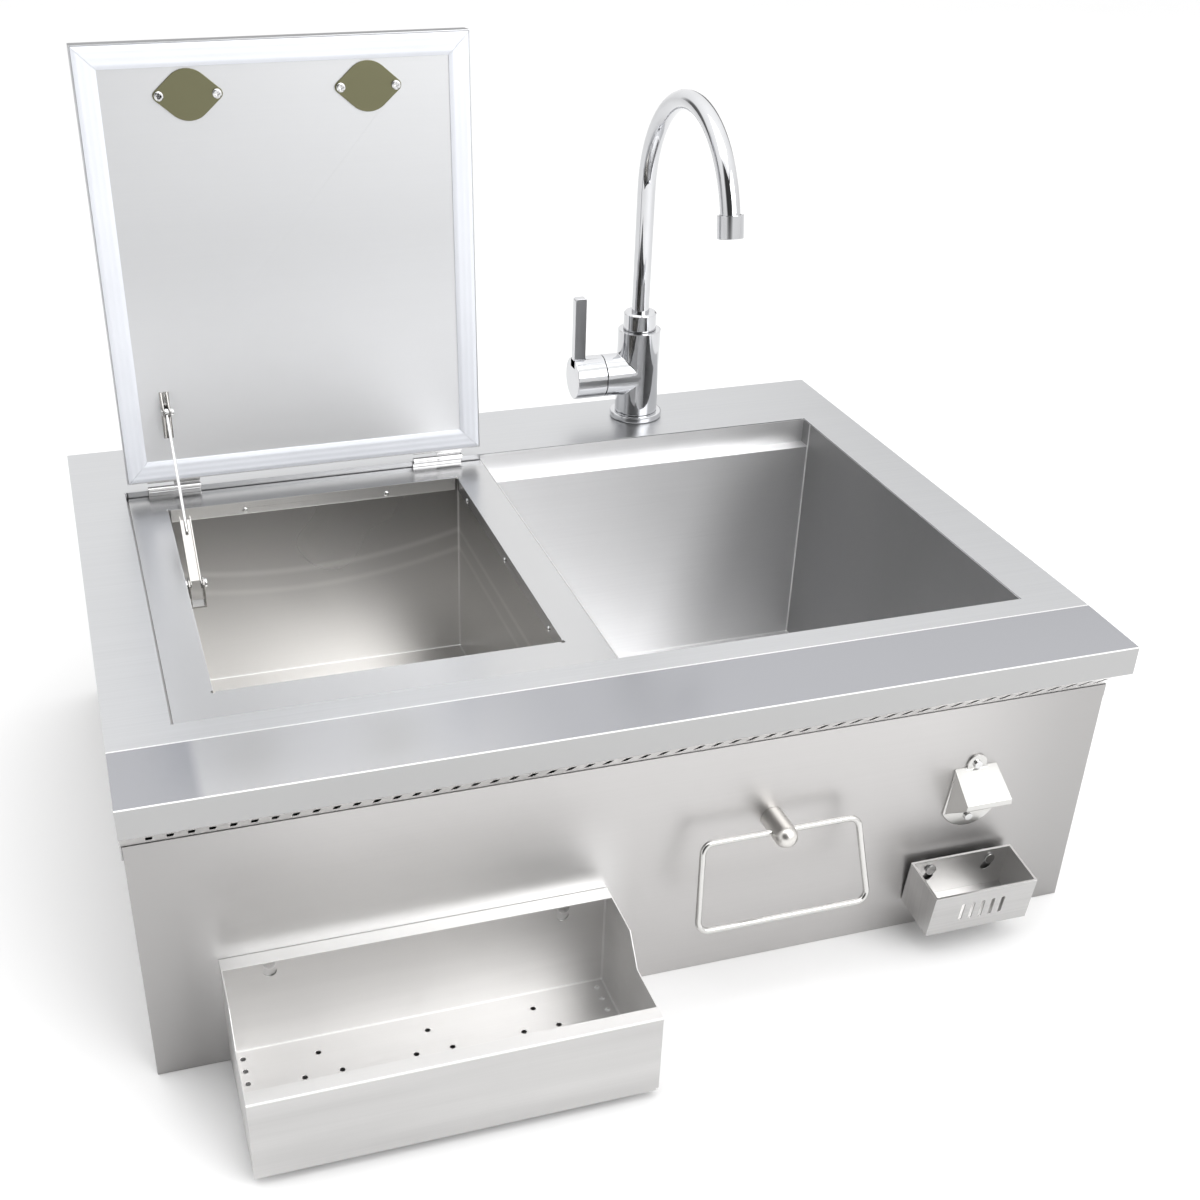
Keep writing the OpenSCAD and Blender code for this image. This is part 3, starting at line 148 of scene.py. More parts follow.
# Deck: the strip in front of its bend line, the fall of that strip, and the height of the apron's foot
STRIP_W = 67 * MM
BEND_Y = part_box("deck_top")[0].y + STRIP_W
STRIP_FALL = 1.5 * MM
APRON_FOOT = 234 * MM

# Vented ledge: its reach behind the apron's face, and its drop
LEDGE_REACH = 24.5 * MM
LEDGE_DROP = 22.5 * MM

# Speed rail: its front wall and its sheet
RAIL_FRONT_H = 70 * MM
RAIL_T = 1 * MM


# ------------------------------------------------------------------ materials

# Places of the Mix node's colour sockets among its inputs and outputs
MIX_AMOUNT, MIX_LOW, MIX_HIGH = 0, 6, 7
MIX_COLOUR = 2


class Reading:
    """A value in a material's nodes; sums and products of readings add their Math nodes."""

    def __init__(self, tree, socket):
        self.tree = tree
        self.socket = socket

    def reckon(self, operation, *terms):
        """Adds a Math node."""
        node = self.tree.nodes.new("ShaderNodeMath")
        node.operation = operation
        for place, term in zip(node.inputs, terms):
            feed(self.tree, place, term)
        return Reading(self.tree, node.outputs[0])

    def __add__(self, other):
        return self.reckon("ADD", self, other)

    def __radd__(self, other):
        return self.reckon("ADD", other, self)

    def __sub__(self, other):
        return self.reckon("SUBTRACT", self, other)

    def __rsub__(self, other):
        return self.reckon("SUBTRACT", other, self)

    def __mul__(self, other):
        return self.reckon("MULTIPLY", self, other)

    def __rmul__(self, other):
        return self.reckon("MULTIPLY", other, self)

    def size(self):
        """Without its sign."""
        return self.reckon("ABSOLUTE", self)

    def held(self):
        """Kept between 0 and 1."""
        return self.reckon("MINIMUM", self.reckon("MAXIMUM", self, 0.0), 1.0)

    def above(self, limit):
        """1 over the limit, 0 elsewhere."""
        return self.reckon("GREATER_THAN", self, limit)

    def near(self, place, reach):
        """1 within reach of the place, 0 elsewhere."""
        return self.reckon("COMPARE", self, place, reach)


def feed(tree, place, term):
    """Links a reading to a socket, or sets the socket's own value."""
    if isinstance(term, Reading):
        tree.links.new(term.socket, place)
    else:
        place.default_value = term


class Tree:
    """The nodes of a material or of the room."""

    def __init__(self, tree):
        self.tree = tree

    def node(self, kind, settings, sockets, output=0):
        """Adds a node of a kind: its settings first, then the values or links of its sockets."""
        node = self.tree.nodes.new(kind)
        for key, value in settings.items():
            setattr(node, key, value)
        for key, value in sockets.items():
            feed(self.tree, node.inputs[key], value)
        return Reading(self.tree, node.outputs[output])

    def split(self, reading, axis):
        """One part of a vector."""
        return self.node("ShaderNodeSeparateXYZ", {}, {"Vector": reading}, axis)


class Finish(Tree):
    """A surface finish: a material with its principled shader."""

    def __init__(self, name, metallic, **constants):
        self.material = bpy.data.materials.new(name)
        self.material.use_nodes = True
        super().__init__(self.material.node_tree)
        self.shader = self.tree.nodes["Principled BSDF"]
        self.shader.inputs["Metallic"].default_value = metallic
        for key, value in constants.items():
            self.shader.inputs[key.replace("_", " ")].default_value = value
        self.place = self.node("ShaderNodeTexCoord", {}, {}, "Object")

    def noise(self, scale, detail=3.0):
        """Noise that is as fine along each axis as scale says, from 0 to 1."""
        at = self.node("ShaderNodeMapping", {}, {"Vector": self.place, "Scale": scale})
        return self.node("ShaderNodeTexNoise", {}, {"Vector": at, "Scale": 1.0, "Detail": detail})

    def along(self, axis):
        """The place along one axis."""
        return self.split(self.place, axis)

    def normal(self, axis, way=1):
        """How much the face looks one way along an axis."""
        part = self.split(self.node("ShaderNodeTexCoord", {}, {}, "Normal"), axis)
        return part if way > 0 else -1 * part

    def faces(self, axis, way=1):
        """1 on the faces that look one way along an axis, 0 elsewhere."""
        return self.normal(axis, way).above(FACING)

    def blend(self, amount, low, high):
        """One colour or the other, by amount."""
        sockets = {MIX_AMOUNT: amount, MIX_LOW: low, MIX_HIGH: high}
        return self.node("ShaderNodeMix", {"data_type": "RGBA"}, sockets, MIX_COLOUR)

    def rising(self, reading, start, end):
        """From 0 at start to 1 at end, with a soft foot and shoulder."""
        sockets = {"Value": reading, "From Min": start, "From Max": end}
        return self.node("ShaderNodeMapRange", {"interpolation_type": "SMOOTHSTEP"}, sockets)

    def wear(self, key, value):
        """Gives the shader a value that changes over the surface."""
        feed(self.tree, self.shader.inputs[key], value)

    def bump(self, height, distance):
        """Fine relief, as high as distance where height is 1."""
        sockets = {"Height": height, "Distance": distance, "Strength": 1.0}
        self.wear("Normal", self.node("ShaderNodeBump", {}, sockets))


def shade(colour, factor):
    """A colour made darker or lighter."""
    return tuple(min(1.0, c * factor) for c in colour[:3]) + (1.0,)


# Painted highlights: light lines on bends and welds
HIGHLIGHT_TONE = (0.97, 0.97, 0.965, 1)

# Brushing lines: how fine they are across and along
FINE_LINES = 650
LONG_LINES = 7

# A face looks one way along an axis where its normal's part that way is over FACING. It is level where
# the upward part is over LEVEL.
FACING = 0.7
LEVEL = 0.9

# How much the clouds of wear change the roughness
CLOUD_GLOSS = 0.06

# Polished and soft finishes: how fine their clouds and skin are, the height of the relief, the darkest
# and lightest tone as shares of the colour, and how much the roughness changes
POLISH_CLOUDS = (60, 60, 60)
POLISH_SKIN = (250, 250, 250)
POLISH_RELIEF = 6e-7
POLISH_DARK, POLISH_LIGHT = 0.94, 1.03
POLISH_GLOSS = 0.05
SOFT_CLOUDS = (14, 14, 14)
SOFT_DARK, SOFT_LIGHT = 0.93, 1.05
SOFT_GLOSS = 0.16

# Welds: how far their painted highlights reach from an edge, and how strong they are
WELD_REACH = 1.3 * MM
WELD_HIGHLIGHT = 0.6

# Bowl: where its right wall and its step start below the rim, and how deep the painted shade on its faces is
BOWL_RIGHT = 20 * MM
BOWL_RIM = 5 * MM
RIGHT_REAR_SHADE = 0.8
RIGHT_FADE = 250 * MM
REAR_SHADE = 0.4
REAR_FADE = (145 * MM, 240 * MM)
REAR_SLANT = 0.3
STEP_SHADE = 0.42

# Bin: where its painted shade starts to deepen, and how much lighter its right wall is kept
LINER_START = 0.2
LINER_RIGHT = 0.45

# Lighter arcs across the bin's rear wall, taken out of its painted shade: heights over the floor, middle,
# curve, width and tone
ARC_HEIGHTS = (88 * MM, 107 * MM)
ARC_MIDDLE = 0.42
ARC_CURVE = 0.87
ARC_W = 5 * MM
ARC_TONE = 0.35

# Where the painted shade towards the cabinet's ends starts, as a share of its half width, and where the
# painted light on the lid's inner sheet has faded out, as a share of its height
PANEL_START = 0.58
LID_STOP = 0.6

# Open boxes: how far from the middle a wall has to stand, and to look back at it, to be an inner wall
INNER_REACH = 5 * MM

# Speed rail: painted light on its inside, painted highlights on its folds, and the painted reflection of its
# inside on the cabinet above it
RAIL_FLOOR_LIGHT = 0.5
RAIL_FOLD_REACH = 1.2 * MM
RAIL_BEND_HIGHLIGHT = 0.6
RAIL_TOP_HIGHLIGHT = 0.5
RAIL_WELD_HIGHLIGHT = 0.5
RAIL_TOP_LAP = 2 * MM
ABOVE_RAIL_LIGHT = 0.55
ABOVE_RAIL_H = 80 * MM
ABOVE_RAIL_FADE = 25 * MM
ABOVE_RAIL_LAP = 5 * MM

# Painted highlight on the lip of the bin's frame
LIP_HIGHLIGHT = 0.75

# Deck: tones of its field and its front strip, and of its painted reflection, shade, light and highlights
FIELD_TONES = (0.475, 0.48, 0.49, 1), (0.59, 0.595, 0.605, 1)
STRIP_TONES = (0.35, 0.355, 0.375, 1), (0.39, 0.395, 0.415, 1)
# Painted reflection of the lid on the strip's left part; its left end keeps the strip's dark tone
STRIP_LID_REFLECTION = (0.52, 0.52, 0.53, 1)
STRIP_END_TONE = (0.36, 0.365, 0.385, 1)
# Painted shade on the walls in the gap left of the bin, and painted light on the recess walls beside the bowl
GAP_SHADE = (0.12, 0.12, 0.12, 1)
RECESS_LIGHT = (0.88, 0.88, 0.88, 1)
# Painted shade on the apron's face, painted light on the vented ledge, and painted shade on the walls of its
# slots
APRON_SHADE = (0.42, 0.42, 0.42, 1)
LEDGE_LIGHT = (0.93, 0.92, 0.91, 1)
SLOT_SHADE = (0.02, 0.02, 0.02, 1)
# Strength of the painted highlight on the bend line and the apron's fold
BEND_HIGHLIGHT = 0.8

# Deck: where the strip's tones change across, and how far its walls and lines reach
STRIP_LEFT = (-60 * MM, -200 * MM)
STRIP_END = (-320 * MM, -330 * MM)
BEND_REACH = 0.7 * MM
FOLD_REACH = 0.8 * MM
RECESS_LAP = 3 * MM
RECESS_TOP = 1 * MM
GAP_LAP = 1 * MM
SLOT_IN = 1.5 * MM
DECK_ROUGHNESS = 0.27
STRIP_POLISH = 0.10
DECK_RELIEF = 6e-6
DECK_CLOUDS = (3, 3, 3)
FIELD_LINES = 0.7
STRIP_LINES = 0.3


def grain(finish, axis):
    """Brushing lines that run along an axis, or up and down on the faces that face that axis."""
    turned = {"X": (1, 0, 0), "Y": (0, 1, 0), "Z": (0, 0, 1)}[axis]
    scale = [LONG_LINES if t else FINE_LINES for t in turned]
    other = [FINE_LINES, FINE_LINES, LONG_LINES] if axis != "Z" else [LONG_LINES, FINE_LINES, FINE_LINES]
    lines = finish.noise(scale, 4.0)
    others = finish.noise(other, 4.0)
    ends = finish.normal(axis).size().above(FACING)
    return lines + (others - lines) * ends


def brushed_steel(name, colour, roughness, axis="X", depth=4e-6, contrast=0.05, deep=None, share=0.5,
                  bright=None, clouds=(4, 4, 4), gloss=0.05, cloudy=0.4):
    """Brushed steel: fine lines one way with soft clouds of wear, then the colour times share where deep
    says, which is painted shade for a share under 1 and painted light over 1, then painted highlights.
    """
    finish = Finish(name, 1.0)
    lines = grain(finish, axis)
    clouds = finish.noise(clouds, 2.0)
    amount = lines * (1 - cloudy) + clouds * cloudy
    tone = finish.blend(amount, shade(colour, 1 - contrast), shade(colour, 1 + contrast))
    # Painted shade where share is under 1, painted light where it is over 1, where the mask says
    if deep:
        tone = finish.blend(deep(finish), tone, shade(colour, share))
    # Painted highlights where the mask says
    if bright:
        tone = finish.blend(bright(finish), tone, HIGHLIGHT_TONE)
    finish.wear("Base Color", tone)
    finish.wear("Roughness", lines * gloss + clouds * CLOUD_GLOSS + (roughness - 0.5 * (CLOUD_GLOSS + gloss)))
    finish.bump(lines, depth)
    return finish


def bowl_painted_shade(finish):
    """Painted shade on the bowl: deep on its right wall, deepening across its rear wall towards it, and a
    little on the step.
    """
    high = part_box("sink_bowl")[1]
    x, y, z = (finish.along(axis) for axis in "XYZ")
    to_front = RIGHT_REAR_SHADE + (1 - RIGHT_REAR_SHADE) * finish.rising(high.y - y, 0.0, RIGHT_FADE)
    right_wall = finish.faces("X", -1) * x.above(high.x - BOWL_RIGHT) * to_front
    rear_wall = finish.faces("Y", -1) * finish.rising(x - REAR_SLANT * z, *REAR_FADE) * REAR_SHADE
    step = finish.faces("Z") * z.above(high.z - BOWL_RIM) * STEP_SHADE
    return right_wall + rear_wall + step


def welds(finish, right, rear, foot):
    """Where the welds run, along the edges where the right wall, the rear wall and the floor meet; the mask
    for their painted highlights.
    """
    at_right = finish.along("X").near(right, WELD_REACH)
    at_rear = finish.along("Y").near(rear, WELD_REACH)
    at_foot = finish.along("Z").near(foot, WELD_REACH)
    return at_right * at_rear + at_rear * at_foot + at_foot * at_right


def bowl_weld_highlights(finish):
    """Painted highlights along the bowl's welds."""
    low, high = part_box("sink_bowl")
    return welds(finish, high.x - SHEET, high.y - STEP_W - SHEET, low.z + SHEET) * WELD_HIGHLIGHT


def liner_weld_highlights(finish):
    """Painted highlights along the bin's welds."""
    low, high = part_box("bin_liner")
    return welds(finish, high.x - SHEET, high.y - SHEET, low.z + SHEET) * WELD_HIGHLIGHT


def liner_painted_shade(finish):
    """Painted shade in the bin, deepening towards its mouth and lighter on its right wall, with two lighter
    arcs across the rear wall.
    """
    low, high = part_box("bin_liner")
    x, z = finish.along("X"), finish.along("Z")
    depth = finish.rising(z, low.z + LINER_START * (high.z - low.z), high.z)
    depth = depth * (1 - LINER_RIGHT * finish.faces("X", -1))
    off_middle = x - (low.x + ARC_MIDDLE * (high.x - low.x))
    rise = off_middle * off_middle * ARC_CURVE
    for height in ARC_HEIGHTS:
        off = (z - (low.z + height) - rise).size()
        rubbed = 1 - finish.rising(off, 0.0, ARC_W)
        depth = depth - rubbed * finish.rising(z, low.z, high.z) * ARC_TONE
    return depth


def panel_end_shade(finish):
    """Painted shade: the cabinet's tone deepens a little towards its ends."""
    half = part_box("front_panel")[1].x
    return finish.rising(finish.along("X").size(), PANEL_START * half, half)


def lid_painted_light(finish):
    """Painted light on the lid's inner sheet, brighter towards the hinge."""
    low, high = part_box("lid_panel")
    return 1 - finish.rising(finish.along("Z"), low.z, low.z + LID_STOP * (high.z - low.z))


def lid_edge_shade(finish):
    """Painted shade on the edge of the lid's shell at its free end, on top of the open lid."""
    return finish.faces("Z")


def inner_faces(finish, node):
    """The walls and the floor inside an open box."""
    low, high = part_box(node)
    middle = (low + high) / 2
    x, y, z = (finish.along(axis) - middle[i] for i, axis in enumerate("XYZ"))
    inwards = -1 * (x * finish.normal("X") + y * finish.normal("Y"))
    return inwards.above(INNER_REACH) + finish.faces("Z") * (-1 * z).above(0.0)


def rail_inside_light(finish):
    """Painted light on the inside of the rail, brightest on the back of its front wall."""
    front_back = finish.faces("Y")
    return inner_faces(finish, "speed_rail") * (RAIL_FLOOR_LIGHT + (1 - RAIL_FLOOR_LIGHT) * front_back)


def box_inside_light(finish):
    """Painted light on the inside of the box for caps."""
    return inner_faces(finish, "cap_catcher")


def rail_fold_highlights(finish):
    """Painted highlights on the folds along the top of the rail, its front bend and the welds in its corner.
    """
    low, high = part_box("speed_rail")
    y, z = finish.along("Y"), finish.along("Z")
    bend = y.near(low.y, RAIL_FOLD_REACH) * z.near(low.z + RAIL_FRONT_H, RAIL_FOLD_REACH)
    top = finish.faces("Z") * z.above(low.z + RAIL_FRONT_H - RAIL_TOP_LAP)
    corner = welds(finish, high.x - RAIL_T, high.y - RAIL_T, low.z + RAIL_T)
    return bend * RAIL_BEND_HIGHLIGHT + top * RAIL_TOP_HIGHLIGHT + corner * RAIL_WELD_HIGHLIGHT


def frame_lip_highlight(finish):
    """Painted highlight on what looks forwards on the bin's frame, as its folded lip behind the opening does.
    """
    return finish.faces("Y", -1) * LIP_HIGHLIGHT


def above_rail_reflection(finish):
    """Painted reflection of the rail's light inside: the cabinet's front is lighter just above the rail."""
    low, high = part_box("speed_rail")
    off = (finish.along("X") - 0.5 * (low.x + high.x)).size()
    half = 0.5 * (high.x - low.x)
    across = 1 - finish.rising(off, half - ABOVE_RAIL_FADE, half + ABOVE_RAIL_FADE)
    up = 1 - finish.rising(finish.along("Z"), high.z, high.z + ABOVE_RAIL_H)
    in_front = (high.y + ABOVE_RAIL_LAP - finish.along("Y")).above(0.0)
    return in_front * across * up * ABOVE_RAIL_LIGHT


def strip_tone_and_reflection(finish, amount):
    """The deck's front strip is darkest on the right and at its left end; a painted reflection of the lid
    lightens its left part short of the end.
    """
    x = finish.along("X")
    dark = finish.blend(amount, *STRIP_TONES)
    tone = finish.blend(finish.rising(x, *STRIP_LEFT), dark, STRIP_LID_REFLECTION)
    return finish.blend(finish.rising(x, *STRIP_END), tone, STRIP_END_TONE)


def recess_walls(finish):
    """The walls of the deck's recess: those in the gap left of the bin, and those beside the bowl."""
    bin_low, bin_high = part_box("bin_frame")
    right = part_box("sink_bowl")[1].x
    x, y = finish.along("X"), finish.along("Y")
    across = x.near(0.5 * (bin_low.x + right), 0.5 * (right - bin_low.x) + RECESS_LAP)
    along = y.near(0.5 * (bin_low.y + bin_high.y), 0.5 * (bin_high.y - bin_low.y) + RECESS_LAP)
    deep = (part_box("deck_top")[1].z - RECESS_TOP - finish.along("Z")).above(0.0)
    walls = deep * across * along
    return walls * (bin_low.x - GAP_LAP - x).above(0.0), walls * x.above(0.0)


def deck_finish():
    """Brushed deck, with a smoother strip in front of its bend line, a painted highlight on each bend, and
    painted light and shade on its recess walls, apron, ledge and vent slots.
    """
    finish = Finish("deck_brushed", 1.0)
    lines = grain(finish, "X")
    clouds = finish.noise(DECK_CLOUDS, 2.0)
    y = finish.along("Y")
    level = finish.normal("Z").above(LEVEL)
    in_front = (BEND_Y - y).above(0.0)
    strip = in_front * level
    low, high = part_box("deck_top")
    bend = y.near(BEND_Y, BEND_REACH) * level
    fold = y.near(low.y, FOLD_REACH) * finish.along("Z").near(high.z - STRIP_FALL, FOLD_REACH)
    gap_walls, bowl_walls = recess_walls(finish)
    tone = finish.blend(lines * FIELD_LINES + clouds * (1 - FIELD_LINES), *FIELD_TONES)
    smoother = strip_tone_and_reflection(finish, lines * STRIP_LINES + clouds * (1 - STRIP_LINES))
    # Over the brushed tone: the strip with its painted reflection, then painted shade, painted light and
    # painted highlights
    layers = [
        (strip, smoother),
        (gap_walls, GAP_SHADE),
        (bowl_walls, RECESS_LIGHT),
        (finish.faces("Y", -1) * in_front, APRON_SHADE),
        (on_ledge(finish), LEDGE_LIGHT),
        ((bend + fold) * BEND_HIGHLIGHT, HIGHLIGHT_TONE),
        (slot_walls(finish), SLOT_SHADE),
    ]
    for where, colour in layers:
        tone = finish.blend(where, tone, colour)
    finish.wear("Base Color", tone)
    finish.wear("Roughness", (lines + clouds) * CLOUD_GLOSS + DECK_ROUGHNESS - strip * STRIP_POLISH)
    finish.bump(lines, DECK_RELIEF)
    return finish


def on_ledge(finish):
    """The vented ledge under the apron."""
    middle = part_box("deck_top")[0].y + 0.5 * LEDGE_REACH
    return finish.along("Y").near(middle, 0.5 * LEDGE_REACH) * (APRON_FOOT - finish.along("Z")).above(0.0)


def slot_walls(finish):
    """The cut walls of the vent slots, which lie in the ledge's shade."""
    across = (finish.normal("Y") * LEDGE_DROP + finish.normal("Z") * LEDGE_REACH).size()
    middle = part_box("deck_top")[0].y + 0.5 * LEDGE_REACH
    cut = finish.along("Y").near(middle, 0.5 * LEDGE_REACH - SLOT_IN)
    return cut * on_ledge(finish) * (0.5 * math.hypot(LEDGE_DROP, LEDGE_REACH) - across).above(0.0)


def polished(name, colour, roughness):
    """Polished metal, with faint clouds in its gloss."""
    finish = Finish(name, 1.0)
    clouds = finish.noise(POLISH_CLOUDS)
    tone = finish.blend(clouds, shade(colour, POLISH_DARK), shade(colour, POLISH_LIGHT))
    finish.wear("Base Color", tone)
    finish.wear("Roughness", clouds * POLISH_GLOSS + (roughness - 0.5 * POLISH_GLOSS))
    finish.bump(finish.noise(POLISH_SKIN, 2.0), POLISH_RELIEF)
    return finish


def soft_finish(name, colour, roughness, fineness=400, depth=2e-5):
    """Vinyl, rubber, foam or plastic, with a fine skin."""
    finish = Finish(name, 0.0)
    skin = finish.noise((fineness, fineness, fineness), 4.0)
    clouds = finish.noise(SOFT_CLOUDS)
    finish.wear("Base Color", finish.blend(clouds, shade(colour, SOFT_DARK), shade(colour, SOFT_LIGHT)))
    finish.wear("Roughness", skin * SOFT_GLOSS + (roughness - 0.5 * SOFT_GLOSS))
    finish.bump(skin, depth)
    return finish


# ------------------------------------------------------------------ shaping

# Points closer than MERGE are one, and faces that turn by less than FLAT are one face
MERGE = 2e-6
FLAT = math.radians(0.6)


def only(piece):
    """Selects one piece alone."""
    bpy.ops.object.select_all(action="DESELECT")
    piece.select_set(True)
    bpy.context.view_layer.objects.active = piece


def edit(piece):
    """Opens a piece in edit mode, all selected."""
    only(piece)
    bpy.ops.object.mode_set(mode="EDIT")
    bpy.ops.mesh.select_all(action="SELECT")


def done():
    """Closes edit mode."""
    bpy.ops.object.mode_set(mode="OBJECT")


def new_piece(name, mesh):
    """A new piece of the object, of a mesh or a curve."""
    piece = bpy.data.objects.new(name, mesh)
    bpy.context.scene.collection.objects.link(piece)
    return piece


def from_node(node):
    """A merged copy of a node's mesh, with its flat faces whole again."""
    piece = new_piece(node + "_finished", NODES[node].data.copy())
    edit(piece)
    bpy.ops.mesh.remove_doubles(threshold=MERGE)
    bpy.ops.mesh.dissolve_limited(angle_limit=FLAT)
    bpy.ops.mesh.customdata_custom_splitnormals_clear()
    done()
    return piece


def ease(piece, width, segments=2, limit=30):
    """Rounds the sharp edges."""
    only(piece)
    bevel = piece.modifiers.new("ease", "BEVEL")
    bevel.width = width
    bevel.segments = segments
    bevel.limit_method = "ANGLE"
    bevel.angle_limit = math.radians(limit)
    bevel.use_clamp_overlap = False
    bpy.ops.object.modifier_apply(modifier=bevel.name)


def smooth(piece, angle=32):
    """Smooth shading that keeps broad faces flat."""
    only(piece)
    bpy.ops.object.shade_smooth_by_angle(angle=math.radians(angle))
    weigh = piece.modifiers.new("weigh", "WEIGHTED_NORMAL")
    weigh.keep_sharp = True
    weigh.weight = 100
    bpy.ops.object.modifier_apply(modifier=weigh.name)


def move(piece, matrix):
    """Puts a piece's mesh in its place."""
    piece.data.transform(matrix)
    return piece


def dress(piece, finish, body, slot, *nodes):
    """Gives a piece its finish and its body, and hides the nodes that it stands for."""
    piece.data.materials.clear()
    piece.data.materials.append(finish.material)
    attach(piece, body)
    if nodes:
        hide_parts(*nodes)
    return piece


def swept(name, points, radius, closed=False):
    """A round rod along a line of points."""
    curve = bpy.data.curves.new(name, "CURVE")
    curve.dimensions = "3D"
    curve.bevel_depth = radius
    curve.bevel_resolution = 7
    curve.use_fill_caps = not closed
    line = curve.splines.new("POLY")
    line.points.add(len(points) - 1)
    for knot, place in zip(line.points, points):
        knot.co = (*place, 1.0)
    line.use_cyclic_u = closed
    piece = new_piece(name, curve)
    only(piece)
    bpy.ops.object.convert(target="MESH")
    piece = bpy.context.view_layer.objects.active
    smooth(piece, angle=50)
    return piece


def turned(name, outline, foot=(0, 0, 0), steps=72):
    """Spins an outline of (radius, height) about an upright axis through foot."""
    mesh = bpy.data.meshes.new(name)
    mesh.from_pydata([(r, 0, h) for r, h in outline], [(i, i + 1) for i in range(len(outline) - 1)], [])
    piece = new_piece(name, mesh)
    edit(piece)
    bpy.ops.mesh.spin(steps=steps, angle=math.tau, center=(0, 0, 0), axis=(0, 0, 1))
    bpy.ops.mesh.select_all(action="SELECT")
    bpy.ops.mesh.remove_doubles(threshold=MERGE)
    bpy.ops.mesh.normals_make_consistent(inside=False)
    done()
    return move(piece, Matrix.Translation(foot))


def arc(centre, radius, start, end, first, second, steps=12):
    """Points on an arc in the plane of two directions, from one angle to another."""
    angles = [start + (end - start) * i / steps for i in range(steps + 1)]
    return [centre + radius * (math.cos(a) * first + math.sin(a) * second) for a in angles]


def round_corner(before, here, after, radius, steps=8):
    """Points of a round bend of a line at one corner."""
    back, on = (before - here).normalized(), (after - here).normalized()
    half = back.angle(on) / 2
    reach = radius / math.tan(half)
    centre = here + (back + on).normalized() * radius / math.sin(half)
    start, end = here + back * reach - centre, here + on * reach - centre
    turn = start.angle_signed(end)
    return [centre + Matrix.Rotation(-turn * i / steps, 2) @ start for i in range(steps + 1)]


def joint_place(name):
    """Where a joint's axis stands at rest."""
    return Vector(JOINTS[name]["pos_m"])


# ------------------------------------------------------------------ camera, floor and light

def camera():
    """The camera stands where the photograph was taken."""
    ahead = Vector((math.sin(CAMERA_YAW) * math.cos(CAMERA_PITCH),
                    math.cos(CAMERA_YAW) * math.cos(CAMERA_PITCH), -math.sin(CAMERA_PITCH)))
    level = Vector((math.cos(CAMERA_YAW), -math.sin(CAMERA_YAW), 0))
    upright = level.cross(ahead)
    right = level * math.cos(CAMERA_ROLL) + upright * math.sin(CAMERA_ROLL)
    up = upright * math.cos(CAMERA_ROLL) - level * math.sin(CAMERA_ROLL)
    data = bpy.data.cameras.new("camera")
    data.sensor_width = CAMERA_SENSOR
    data.lens = CAMERA_LENS
    data.shift_x, data.shift_y = CAMERA_SHIFT
    data.clip_end = CAMERA_REACH
    eye = bpy.data.objects.new("camera", data)
    turn = Matrix((right, up, -ahead)).transposed().to_4x4()
    eye.matrix_world = Matrix.Translation(CAMERA_PLACE) @ turn
    bpy.context.scene.collection.objects.link(eye)
    bpy.context.scene.camera = eye


def floor():
    """A plain pale floor under the cabinet."""
    bpy.ops.object.select_all(action="DESELECT")
    bpy.ops.mesh.primitive_plane_add(size=FLOOR_SIZE, location=(0, 0, -FLOOR_GAP))
    ground = bpy.context.active_object
    ground.name = "floor"
    pale = Finish("pale_floor", 0.0, Roughness=0.9)
    pale.shader.inputs["Specular IOR Level"].default_value = 0.1
    pale.wear("Base Color", pale.blend(pale.noise(FLOOR_CLOUDS), *FLOOR_TONES))
    ground.data.materials.append(pale.material)


def soft_box(name, place, target, width, height, power):
    """A soft light that faces a target."""
    data = bpy.data.lights.new(name, "AREA")
    data.shape = "RECTANGLE"
    data.size = width
    data.size_y = height
    data.energy = power
    lamp = bpy.data.objects.new(name, data)
    way = Vector(target) - Vector(place)
    lamp.location = place
    lamp.rotation_euler = way.to_track_quat("-Z", "Y").to_euler()
    bpy.context.scene.collection.objects.link(lamp)


def studio():
    """A pale room with dark patches, and soft boxes overhead and in front to the right."""
    world = bpy.data.worlds.new("studio")
    world.use_nodes = True
    bpy.context.scene.world = world
    room = Tree(world.node_tree)
    way = room.node("ShaderNodeTexCoord", {}, {}, "Generated")
    across, behind, height = (room.split(way, axis) for axis in "XYZ")
    light = height * ROOM_RISE + ROOM_LIGHT
    for side, (middle, steepness, start, depth) in ((across, DARK_PATCH), (across.size(), BACK_PATCH)):
        towards = side * middle.x + behind * middle.y + height * middle.z
        light = light * (1 - (towards * steepness - start).held() * depth)
    grey = room.node("ShaderNodeCombineColor", {}, {"Red": light, "Green": light, "Blue": light})
    sky = room.tree.nodes["Background"]
    feed(room.tree, sky.inputs["Color"], grey)
    sky.inputs["Strength"].default_value = 1.0
    for name, (place, target, width, height, power) in SOFT_BOXES.items():
        soft_box(name, place, target, width, height, power)
    bpy.context.scene.view_settings.view_transform = "Standard"


# ------------------------------------------------------------------ pieces

camera()
floor()
studio()

DECK = deck_finish()
PANEL = brushed_steel("panel_brushed", (0.54, 0.53, 0.525), 0.40, depth=2e-6, deep=panel_end_shade, share=0.72,
                      bright=above_rail_reflection)
BOWL = brushed_steel("bowl_brushed", (0.90, 0.90, 0.905), 0.5, depth=1e-6, deep=bowl_painted_shade, share=0.25,
                     bright=bowl_weld_highlights)
LINER = brushed_steel("liner_satin", (0.80, 0.79, 0.775), 0.28, depth=1e-7, contrast=0.02, deep=liner_painted_shade,
                      share=0.42, bright=liner_weld_highlights, gloss=0.0)
SHELL = brushed_steel("shell_mill", (0.55, 0.55, 0.55), 0.42)
LID = brushed_steel("lid_brushed", (0.60, 0.605, 0.615), 0.44, depth=2e-6, contrast=0.03, deep=lid_painted_light,
                    share=1.6)
FRAME = brushed_steel("frame_brushed", (0.54, 0.54, 0.545), 0.26, bright=frame_lip_highlight)
